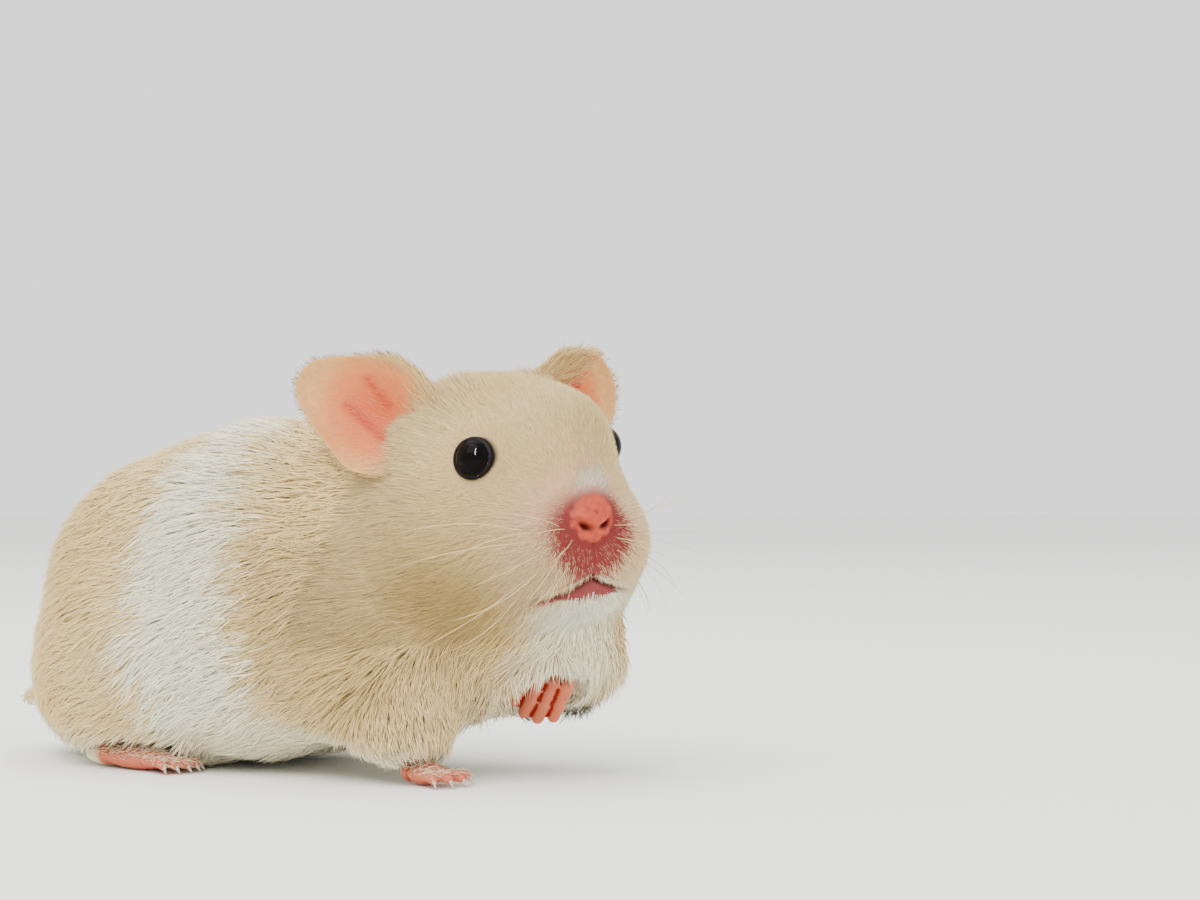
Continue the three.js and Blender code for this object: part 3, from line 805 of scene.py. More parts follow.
# ---------------------------------------------------------------- paws
@dataclass(frozen=True)
class Paw:
    """A paw in its node's box: palm and toes for the skin, and claws of its own."""

    node: str
    turn: float
    nod: float = 0.0
    lean: float = 0.0  # degrees that the toes turn across, in the palm's own plane
    palm: tuple[float, float, float] = (4.9, 4.6, 3.0)
    toes: int = 4
    toe_length: float = 3.5
    toe_radius: float = 0.74
    fan: float = 24.0
    curl: float = 0.0
    cell: float = 0.2
    claw_length: float = 1.7
    claw_radii: tuple[float, ...] = (0.36, 0.31, 0.2, 0.04)
    furred: float = 0.8  # how far along the toes the fine hairs go, as a share of them
    knuckle_at: float = 0.78  # how far along the palm the toes start, as a share of it
    knuckle_rise: float = 0.5  # how far the toes start over the sole
    sole_gap: float = 0.06  # how far over the floor the sole is

    def toe(self, index: int) -> list[Array]:
        """A toe's knuckle, joint and tip and its claw's middle and end, in the paw's own frame."""
        across = 2 * index / (self.toes - 1) - 1
        turn = math.radians(self.fan * across)
        length = self.toe_length * (1 - 0.22 * across * across)

        def onward(start: Array, distance: float, down: float) -> Array:
            """The point a distance on from start, bent down by so many degrees."""
            level, drop = distance * math.cos(math.radians(down)), distance * math.sin(math.radians(down))
            return start + [level * math.sin(turn), -level * math.cos(turn), -drop]

        width, reach, _ = self.palm
        height = self.toe_radius + self.knuckle_rise
        knuckle = np.array([0.38 * width * across, -self.knuckle_at * reach, height])
        joint = onward(knuckle, 0.55 * length, 0.5 * self.curl)
        tip = onward(joint, 0.45 * length, self.curl + 6)
        claw = [onward(tip, 0.5, self.curl + 25), onward(tip, self.claw_length, self.curl + 40)]
        return [knuckle, joint, tip, *claw]

    def frame(self) -> Matrix:
        """The turn of the paw's own frame."""
        turn, nod, lean = (
            Matrix.Rotation(math.radians(angle), 4, axis)
            for angle, axis in ((self.turn, "Z"), (self.nod, "X"), (self.lean, "Z"))
        )
        return turn @ nod @ lean

    def flesh(self) -> bmesh.types.BMesh:
        """The palm and toes in the paw's own frame, as overlapping balls."""
        bm = bmesh.new()
        width, length, height = self.palm
        ball(bm, [0, -0.42 * length, 0.44 * height], [width / 2, 0.56 * length, 0.5 * height])
        ball(bm, [0, 0.1 * length, 0.5 * height], [0.42 * width, 0.3 * length, 0.5 * height])
        for index in range(self.toes):
            knuckle, joint, tip = self.toe(index)[:3]
            string_of_balls(bm, knuckle + [0, 1.2, 0], knuckle, (self.toe_radius, 1.12 * self.toe_radius))
            string_of_balls(bm, knuckle, joint, (1.05 * self.toe_radius, 0.82 * self.toe_radius))
            string_of_balls(bm, joint, tip, (0.95 * self.toe_radius, 0.86 * self.toe_radius))
            sizes = [0.9 * self.toe_radius, self.toe_radius, 0.85 * self.toe_radius]
            ball(bm, tip + [0, -0.1, -0.12], sizes, 2)
        return bm

    def seat(self) -> Matrix:
        """The whole place of the paw: its turn, with its box's middle on its CAD node's."""
        bm = self.flesh()
        turned = np.array([self.frame() @ v.co for v in bm.verts])
        bm.free()
        low, high = turned.min(axis=0), turned.max(axis=0)
        shift = middle_of(self.node) - (low + high) / 2
        if self.nod == 0:
            shift[2] = self.sole_gap - low[2]
        return Matrix.Translation(Vector(shift)) @ self.frame()

    def read(self, points: Array) -> Array:
        """Points of the part, in the paw's own frame."""
        seat = np.array(self.seat().inverted())
        return points @ seat[:3, :3].T + seat[:3, 3]

    def build(self) -> bpy.types.Object:
        """The paw's flesh as one closed surface."""
        bm = self.flesh()
        bmesh.ops.transform(bm, matrix=self.seat(), verts=bm.verts)
        paw = object_of(f"{self.node}_flesh", bm)
        remesh(paw, self.cell)
        smooth(paw, 4)
        return paw

    def claws(self, bm: bmesh.types.BMesh) -> None:
        """Adds the paw's claws to a bmesh, each a curved spike."""
        seat = self.seat()
        for index in range(self.toes):
            _, joint, tip, middle, end = self.toe(index)
            start = tip + 0.2 * unit(tip - joint) + [0, 0, 0.18]
            path = [start, mix(start, middle, 0.8), mix(middle, end, 0.55), end]
            for a, b, thick, thin in zip(path, path[1:], self.claw_radii, self.claw_radii[1:]):
                axis = Vector(b - a)
                turn = axis.to_track_quat("Z", "Y").to_matrix().to_4x4()
                bmesh.ops.create_cone(
                    bm, cap_ends=True, segments=8, radius1=thick, radius2=thin, depth=axis.length * 1.04,
                    matrix=seat @ Matrix.Translation(Vector((a + b) / 2)) @ turn,
                )


PAWS = (
    Paw("forepaw_right", turn=-12),
    Paw(
        "forepaw_left", turn=-42, nod=62, lean=-26, palm=(7.0, 4.4, 2.4), toe_length=5.8, toe_radius=1.0,
        fan=3, curl=70, furred=-0.8, knuckle_at=0.36, knuckle_rise=1.9,
    ),
    Paw("hindfoot_right", turn=-7, palm=(5.2, 12.5, 3.2), toes=5, toe_length=4.3, fan=20),
    Paw("hindfoot_left", turn=7, palm=(5.2, 12.5, 3.2), toes=5, toe_length=4.3, fan=20),
)


# ---------------------------------------------------------------- ears
@dataclass(frozen=True)
class Ear:
    """An ear: a thin cupped leaf with a rolled rim and folds, in the head's frame."""

    head: HeadFrame
    side: Side
    root: tuple[float, float, float]
    tip: tuple[float, float, float]
    opening: tuple[float, float, float]
    width: float
    cup: float
    furred_from: float  # where the fur on its front edge ends, across it
    trims: tuple[float, float]  # how much narrower the outer half is on its upper and its lower side
    creases: tuple[tuple[float, float, float, float], ...] = (  # from across and up, to across and up
        (0.0, 0.66, -0.2, 0.4), (0.4, 0.6, 0.2, 0.44),
    )
    crease_width: float = 0.5
    thickness: float = 0.55
    segments: int = 88
    inner_tone: Array = painted(222, 128, 70)
    deep_tone: Array = painted(216, 100, 58)
    fold_shade: Array = painted(186, 60, 38)
    rim_tone: Array = painted(220, 166, 104)

    def axes(self) -> tuple[Array, Array, Array, float]:
        """The leaf's way across, its way out of its back, its way up, and its length."""
        along = np.array(self.tip) - self.root
        z = unit(along)
        x = unit(np.cross(z, self.opening))
        return x, np.cross(z, x), z, float(np.linalg.norm(along))

    def read(self, points: Array) -> tuple[Array, Array]:
        """Where points of the part are across the leaf, from -1 to 1, and up it, from 0 to 1."""
        x, _, z, length = self.axes()
        away = self.head.read(points) - self.root
        return dots(away, x) / (self.width / 2), dots(away, z) / length

    def fringe(self, points: Array) -> Array:
        """How much each point belongs to the furred foot and front edge of the leaf, from 0 to 1."""
        across, up = self.read(points)
        edge = step(0, 0.4, -self.side.value * across - self.furred_from)
        return np.maximum(step(0.4, 0.2, up), edge * step(1.0, 0.7, up))

    def folds(self, across: Array, up: Array) -> Array:
        """How high the creases of the cup stand at places on the leaf, from 0 to 1."""
        height = np.zeros(len(up))
        scale = np.array([self.width / 2, self.axes()[3]])
        spots = np.stack([across, up], axis=1) * scale
        for crease in self.creases:
            start, end = np.array(crease).reshape(2, 2) * scale
            run = end - start
            nearest = start + np.clip((spots - start) @ run / (run @ run), 0, 1)[:, None] * run
            height += np.exp(-(np.linalg.norm(spots - nearest, axis=1) / self.crease_width) ** 2)
        return height

    def build(self) -> bpy.types.Object:
        """The ear's flesh as one closed leaf."""
        bm = bmesh.new()
        bmesh.ops.create_uvsphere(bm, u_segments=self.segments, v_segments=60, radius=1.0)
        leaf = object_of(f"ear_{self.side.label}_flesh", bm)
        a, b, c = points_of(leaf.data).T
        x, y, z, length = self.axes()
        up = (c + 1) / 2
        upper = step(-0.3, 0.5, -self.side.value * a)
        outer = step(0.4, 0.9, up)
        lobe = 0.8 + 0.25 * step(0.0, 0.35, up)
        outline = mix(lobe - self.trims[1] * outer, 1 - self.trims[0] * outer, upper)
        across = a * mix(0.8, 1.0, up) * outline * (1 + 0.25 * step(0.55, 0.95, up))
        half = mix(1.5, self.thickness / 2, np.minimum(1, 2.2 * up))
        rim = np.hypot(a, c)
        sheet = np.sign(b) * np.abs(b) ** 0.45 * half
        bend = self.cup * across ** 2 * mix(1.5, 0.75, up)
        bowl = 1.5 * np.exp(-(((up - 0.38) / 0.24) ** 2) - (across / 0.5) ** 2)
        roll = 0.8 * step(0.84, 1.0, rim) * step(0.1, 0.4, up)
        wave = 0.3 * np.sin(7 * across + 3 * up) * step(0.5, 1.0, rim)
        depth = sheet - bend + bowl - roll - 0.5 * self.folds(across, up) + wave
        local = np.stack([self.width / 2 * across, depth, length * up], axis=1)
        spots = local[:, :1] * x + local[:, 1:2] * y + local[:, 2:] * z + self.root
        move_points(leaf.data, self.head.place(spots))
        return leaf

    def colours(self, points: Array) -> Array:
        """The bare ear's colours: deep in the cup, painted shade along its creases, tan at the rim and over
        the back.

        Args:
            points: places on the leaf, in the part's frame.

        Returns:
            A linear colour for each point.
        """
        across, up = self.read(points)
        up = np.clip(up, 0, 1)
        reach = np.hypot(across, 1.1 * (up - 0.5) * 2)
        colour = blend(self.deep_tone, self.inner_tone, step(0.1, 0.7, reach))
        # painted shade: darker red along the cup's creases
        colour = blend(colour, self.fold_shade, 0.9 * np.clip(self.folds(across, up), 0, 1))
        return blend(colour, self.rim_tone, step(0.55, 0.95, reach))

    def on_back(self, normals: Array) -> Array:
        """How far surfaces with these normals face away from the opening, from 0 to 1."""
        return step(-0.2, 0.5, self.head.turn_in(normals) @ self.axes()[1])


# ---------------------------------------------------------------- the skin
@dataclass
class Skin:
    """The one skin: body, face, paws, ears, nose and tail, which the coat grows on."""

    head: HeadFrame
    face: Face
    lie: Lie
    markings: Markings
    ears: tuple[Ear, ...]
    finish: Finish = Finish("skin", roughness=0.62, grain=0.05, bump=0.25, glow=0.2, specular=0.08)
    flesh_nodes: tuple[str, ...] = (
        "head", "jaw", "neck", "shoulders", "trunk", "rump",
        "foreleg_left", "foreleg_right", "hindleg_left", "hindleg_right",
    )
    own_nodes: tuple[str, ...] = (
        "nose", "tail", "ear_left", "ear_right",
        "forepaw_left", "forepaw_right", "hindfoot_left", "hindfoot_right",
    )
    bridge: float = 0.36  # how far each node grows to close the cuts between them
    coarse_cell: float = 0.9
    fine_cell: float = 0.45

    def torso(self) -> bpy.types.Object:
        """Head, trunk and legs as one surface, drawn in by the coat's depth."""
        bm = bmesh.new()
        for node in self.flesh_nodes:
            bm.from_mesh(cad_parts[node].data)
        bmesh.ops.transform(bm, matrix=Matrix.Scale(1 / MM, 4), verts=bm.verts)
        bmesh.ops.remove_doubles(bm, verts=bm.verts, dist=0.001)
        bm.normal_update()
        for vert in bm.verts:
            vert.co += vert.normal * self.bridge
        for side in Side:
            ball(bm, self.head.place(self.face.eye(side)), [self.face.eyeball + 0.3] * 3)
        body = object_of("skin", bm)
        remesh(body, self.coarse_cell)
        points = points_of(body.data)
        smooth(body, 26, mix(1.0, 0.45, self.lie.on_head(points)))
        points = points_of(body.data)
        move_points(body.data, points - normals_of(body.data) * self.lie.depth(points)[:, None])
        smooth(body, 3)
        return body

    def tail(self) -> bpy.types.Object:
        """The short bare tail."""
        low, high = box_of("tail")
        tip = np.array([(low[0] + high[0]) / 2, high[1] - 1.0, low[2] + 1.2])
        root = np.array([tip[0], low[1] - 4, high[2] - 2.6])
        bm = bmesh.new()
        string_of_balls(bm, root, tip, (2.8, 1.0))
        return object_of("tail_flesh", bm)

    def build(self) -> bpy.types.Object:
        """The whole skin.

        Returns:
            The skin, in millimetres, with no material yet.
        """
        body = self.torso()
        bm = bmesh.new()
        bm.from_mesh(body.data)
        ball(bm, self.head.place(self.face.nose), self.face.nose_size, 4, Matrix(self.head.axes.T.tolist()))
        bm.to_mesh(body.data)
        bm.free()
        tail = self.tail()
        joined = bmesh.new()
        joined.from_mesh(body.data)
        joined.from_mesh(tail.data)
        joined.to_mesh(body.data)
        joined.free()
        bpy.data.objects.remove(tail)
        remesh(body, self.fine_cell)
        smooth(body, 2)
        self.refine(body)
        move_points(body.data, self.sculpted(points_of(body.data), normals_of(body.data)))
        return body

    def refine(self, body: bpy.types.Object) -> None:
        """Divides the faces of the muzzle and round the eyes."""
        points = points_of(body.data)
        spots = self.head.read(points)
        fine = (spots[:, 1] < -1.5) & (spots[:, 2] > -21) & (spots[:, 2] < -3.5) & (np.abs(spots[:, 0]) < 11)
        fine |= self.face.from_eyes(spots) < 5.5
        nose = np.linalg.norm(spots - self.face.nose, axis=1) < 4.2
        bm = bmesh.new()
        bm.from_mesh(body.data)
        bm.verts.ensure_lookup_table()
        edges = [e for e in bm.edges if fine[e.verts[0].index] and fine[e.verts[1].index]]
        finer = {e for e in edges if nose[e.verts[0].index] and nose[e.verts[1].index]}
        bmesh.ops.subdivide_edges(bm, edges=list(finer), cuts=3, use_grid_fill=True)
        bmesh.ops.subdivide_edges(bm, edges=[e for e in edges if e not in finer], cuts=1, use_grid_fill=True)
        bmesh.ops.triangulate(bm, faces=[f for f in bm.faces if len(f.verts) > 4])
        bm.to_mesh(body.data)
        bm.free()

    def sculpted(self, points: Array, normals: Array) -> Array:
        """Draws lids, nose, nostrils, lip line and mouth into the skin.

        Args:
            points: the skin's vertices.
            normals: its normals there.

        Returns:
            The vertices' new places.
        """
        spots = self.head.read(points)
        for side in Side:
            radius, slant = self.face.lid(spots, side)
            edge = self.face.lid_opening
            inner = step(edge + 1, edge - 4, slant)
            ring = np.exp(-(((slant - edge - 9) / 8.0) ** 2))
            wanted = mix(self.face.eyeball + self.face.lid_thickness * ring, self.face.eyeball - 0.5, inner)
            share = np.where(slant < edge + 6, 1.0, ring) * step(6.0, 4.2, radius) * step(100, 80, slant)
            spots = spots + unit(spots - self.face.eye(side)) * ((wanted - radius) * share)[:, None]
        outward = self.head.turn_in(normals)
        spots = spots + outward * (0.8 * self.face.pads.share(mirrored(spots)))[:, None]
        spots = spots - outward * (1.3 * self.face.nostrils(spots))[:, None]
        across, rise = np.abs(spots[:, 0]) - 2.6, spots[:, 2] - self.face.nose[2] + 0.3
        wing = np.exp(-((across / 0.7) ** 2 + (rise / 0.8) ** 2))
        spots = spots + outward * (0.3 * wing * step(-7.5, -9.0, spots[:, 1]))[:, None]
        pad = step(1.15, 1.0, self.face.from_nose(spots))
        spots = spots + outward * (0.035 * pad * ripple(spots, 0.6, 62))[:, None]
        front = step(-6.5, -8.0, spots[:, 1])
        groove = np.exp(-((spots[:, 0] / 0.35) ** 2)) * front
        groove = groove * step(-9.0, -10.6, spots[:, 2]) * step(-16.8, -15.5, spots[:, 2])
        spots = spots - outward * (0.3 * groove)[:, None]
        mouth = self.face.from_mouth(spots)
        near = step(2.5, 1.2, mouth) * step(9.2, 6, np.abs(spots[:, 0]))
        slit = self.face.from_slit(spots)
        gap = np.exp(-(((slit - 0.35) / 0.38) ** 2)) * near
        lips = np.exp(-(((slit - 1.5) / 0.6) ** 2)) + 0.4 * np.exp(-(((slit + 0.6) / 0.4) ** 2))
        spots = spots + outward * (0.3 * lips * near - 1.2 * gap)[:, None]
        return self.head.place(spots)

    def dress(self, body: bpy.types.Object, limbs: list[bpy.types.Object]) -> None:
        """Adds ears and paws to the skin, colours it and puts it in the CAD nodes' place.

        Args:
            body: the skin.
            limbs: the ears and paws.
        """
        hidden = step(0.35, 0.0, self.lie.on_head(points_of(body.data)))
        thin_out(body, 0.55, hidden)
        for limb in limbs:
            unite(body, limb)
        points = points_of(body.data)
        colours = self.markings.skin(points, normals_of(body.data))
        for ear in self.ears:
            across, up = ear.read(points)
            leaf = step(0.15, 0.3, up) * step(1.25, 1.05, np.hypot(across, 2 * up - 1))
            leaf = leaf * step(1.2, 0.2, outside(f"ear_{ear.side.label}", points))
            colours = blend(colours, ear.colours(points), leaf)
        # painted shade: the paws turn dark red in their creases, where shade falls between the toes
        shaded_paw = blend(self.markings.paw, self.markings.crease, step(0.04, 0.4, hollows(body.data)))
        for paw in PAWS:
            before_wrist = step(1.5, 0.5, paw.read(points)[:, 1])
            colours = blend(colours, shaded_paw, step(2.5, 2.0, outside(paw.node, points)) * before_wrist)
        paint(body.data, colours)
        finish_piece(body, self.finish.material(), Slot.BARE)
        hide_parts(*self.flesh_nodes, *self.own_nodes)


# ---------------------------------------------------------------- eyes and claws
@dataclass(frozen=True)
class Eyes:
    """Two glossy dark eyes, in the CAD eyes' places."""

    face: Face
    finish: Gloss = Gloss("eye", (0.003, 0.002, 0.002), 0.04, specular=0.05)

    def build(self) -> None:
        """Builds both eyes."""
        material = self.finish.material()
        for side in Side:
            bm = bmesh.new()
            bmesh.ops.create_uvsphere(bm, u_segments=48, v_segments=32, radius=self.face.eyeball)
            centre = middle_of(f"eye_{side.label}")
            bmesh.ops.translate(bm, vec=Vector(centre), verts=bm.verts)
            eye = object_of(f"eyeball_{side.label}", bm)
            finish_piece(eye, material, Slot.EYE)
            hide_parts(f"eye_{side.label}")


@dataclass(frozen=True)
class Claws:
    """The claws of all four paws."""

    finish: Gloss = Gloss("claw", (0.62, 0.45, 0.36), 0.35)

    def build(self) -> None:
        """Builds the claws of each paw as a piece."""
        material = self.finish.material()
        for paw in PAWS:
            bm = bmesh.new()
            paw.claws(bm)
            claws = object_of(f"claws_{paw.node}", bm)
            finish_piece(claws, material, Slot.BARE)


# ---------------------------------------------------------------- the coat
@dataclass
class Surface:
    """The skin's triangles, as places for roots."""

    points: Array
    normals: Array
    corners: Array

    @classmethod
    def of(cls, obj: bpy.types.Object) -> "Surface":
        """An object's surface."""
        return cls(points_of(obj.data), normals_of(obj.data), triangles_of(obj.data))

    def scatter(self, density: Array, rng: np.random.Generator) -> tuple[Array, Array]:
        """Places roots over the surface.

        Args:
            density: the roots to a square millimetre at each vertex.
            rng: the random numbers.

        Returns:
            The roots, and the surface's normals there.
        """
        a, b, c = (self.points[self.corners[:, i]] for i in range(3))
        area = 0.5 * np.linalg.norm(np.cross(b - a, c - a), axis=1)
        wanted = area * density[self.corners].mean(axis=1)
        total = np.cumsum(wanted)
        count = int(total[-1])
        chosen = np.searchsorted(total, (np.arange(count) + rng.random(count)) * total[-1] / count)
        chosen = np.minimum(chosen, len(self.corners) - 1)
        u, v = rng.random(count), rng.random(count)
        flip = u + v > 1
        u[flip], v[flip] = 1 - u[flip], 1 - v[flip]
        weights = np.stack([1 - u - v, u, v], axis=1)[:, :, None]
        picked = self.corners[chosen]
        return (self.points[picked] * weights).sum(axis=1), unit((self.normals[picked] * weights).sum(axis=1))


@dataclass
class Tufts:
    """A set of tufts, each a thin three-sided spike that bends over."""

    roots: Array
    normals: Array
    ways: Array
    lengths: Array
    widths: Array
    lifts: Array  # degrees over the skin at the root
    tones: Array
    stations: tuple[float, ...] = (0.0, 0.5)
    droop: float = 0.55  # how much of the lift the tip loses
    sink: float = 0.25  # how deep the root is in the skin
    clump: float = 0.3  # how far tips draw together
    clump_share: float = 0.12  # clump middles to a tuft
    # painted shade: tufts darker towards the root, where the coat shades itself
    root_shade: float = 0.86
    lowest_facing: float = -0.25  # hair lets light through, so its underside stays light
    softness: float | Array = 0.47  # how much of the skin's normal the tufts' shading takes

    def centreline(self, rng: np.random.Generator) -> Array:
        """The middle of each tuft at each station and at its tip.

        Args:
            rng: the random numbers.

        Returns:
            An array of tufts by stations by 3.
        """
        along = np.array([*self.stations, 1.0])
        lift = np.radians(self.lifts)[:, None, None]
        length = self.lengths[:, None, None]
        s = along[None, :, None]
        sideways = np.cross(self.ways, self.normals)
        curl = rng.normal(0, 0.1, len(self.roots))[:, None, None]
        line = self.roots[:, None] - self.sink * self.normals[:, None]
        line = line + length * s * np.cos(lift) * self.ways[:, None]
        height = length * np.sin(lift) * s * (1 - self.droop * s) + self.sink * np.minimum(1, 3 * s)
        line = line + height * self.normals[:, None]
        line = line + length * curl * s * s * sideways[:, None]
        if self.clump:
            count = max(1, int(self.clump_share * len(self.roots)))
            middles = rng.choice(len(self.roots), count, replace=False)
            tree = kdtree.KDTree(count)
            for number, index in enumerate(middles):
                tree.insert(self.roots[index], number)
            tree.balance()
            nearest = middles[np.array([tree.find(root)[1] for root in self.roots])]
            pull = line[nearest, -1] - line[:, -1]
            reach = np.linalg.norm(pull, axis=1, keepdims=True)
            pull = pull * np.minimum(1, 0.45 * self.lengths[:, None] / np.maximum(reach, 1e-6))
            amount = self.clump * rng.uniform(0.4, 1.4, len(self.roots))[:, None, None]
            line = line + amount * s ** 1.5 * pull[:, None]
        line[..., 2] = np.maximum(line[..., 2], FLOOR_GAP)
        return line

    def build(self, name: str, unwrap: Array, rng: np.random.Generator) -> bpy.types.Object:
        """The tufts as one mesh.

        Args:
            name: the piece's name.
            unwrap: each root's place, from 0 to 1, on an unwrap of the skin.
            rng: the random numbers.

        Returns:
            The mesh object, in millimetres.
        """
        line = self.centreline(rng)
        count, rings = len(self.roots), len(self.stations)
        run = unit(line[:, 1:] - line[:, :-1])
        side = unit(np.cross(run, self.normals[:, None]))
        over = np.cross(side, run)
        taper = np.array([0.75 + 0.25 * min(1, 4 * s) - 0.62 * s * s for s in self.stations])
        half = self.widths[:, None, None] / 2 * taper[None, :, None]
        ring = [line[:, :-1] + half * (side * x + over * y) for x, y in ((-1, -0.35), (1, -0.35), (0, 0.75))]
        body = np.stack(ring, axis=2).reshape(count, rings * 3, 3)
        places = np.concatenate([body, line[:, -1:]], axis=1)
        each = rings * 3 + 1
        quads = [
            (3 * k + i, 3 * k + 3 + i, 3 * k + 3 + (i + 1) % 3, 3 * k + (i + 1) % 3)
            for k in range(rings - 1) for i in range(3)
        ]
        last = 3 * (rings - 1)
        ends = [(last + (i + 1) % 3, last + i, each - 1) for i in range(3)] + [(0, 1, 2)]
        pattern = np.array([v for face in quads + ends for v in face])
        sizes = np.array([len(face) for face in quads + ends])
        mesh = bpy.data.meshes.new(name)
        mesh.vertices.add(count * each)
        mesh.vertices.foreach_set("co", places.astype(np.float32).ravel())
        corners = (np.arange(count)[:, None] * each + pattern).ravel()
        mesh.loops.add(len(corners))
        mesh.loops.foreach_set("vertex_index", corners.astype(np.int32))
        starts = np.concatenate([[0], np.cumsum(np.tile(sizes, count))[:-1]])
        mesh.polygons.add(count * len(sizes))
        mesh.polygons.foreach_set("loop_start", starts.astype(np.int32))
        mesh.polygons.foreach_set("use_smooth", np.ones(count * len(sizes), bool))
        mesh.update(calc_edges=True)
        # painted shade: each tuft darkens towards its root, where the coat shades itself
        levels = np.array([*np.repeat(self.stations, 3), 1.0])
        shade = self.root_shade + (1 - self.root_shade) * np.minimum(1, levels / 0.6)
        paint(mesh, (self.tones[:, None] * shade[None, :, None]).reshape(-1, 3))
        patch = np.empty((each, 2))
        patch[:, 0] = 0.003 * (levels - 0.5)
        patch[:, 1] = 0.003 * np.array([*np.tile([-0.5, 0.5, 0.0], rings), 0.0])
        spread = unwrap[:, None] + patch[None]
        layer = mesh.uv_layers.new(name=BAKE_MAP)
        layer.data.foreach_set("uv", spread.reshape(-1, 2)[corners].astype(np.float32).ravel())
        middles = np.concatenate([np.repeat(line[:, :-1], 3, axis=1), line[:, -1:]], axis=1)
        facing = (places - middles) / self.widths[:, None, None]
        facing[:, -1] = over[:, -1]
        facing = unit(facing)
        towards = (facing * self.normals[:, None]).sum(axis=2)
        softness = np.broadcast_to(self.softness, count)[:, None] * step(-1.0, 0.2, towards)
        soft = unit(blend(facing, self.normals[:, None], softness))
        soft[..., 2] = np.maximum(soft[..., 2], self.lowest_facing)
        mesh.normals_split_custom_set_from_vertices(unit(soft).reshape(-1, 3).astype(np.float32).tolist())
        made = bpy.data.objects.new(name, mesh)
        bpy.context.scene.collection.objects.link(made)
        return made


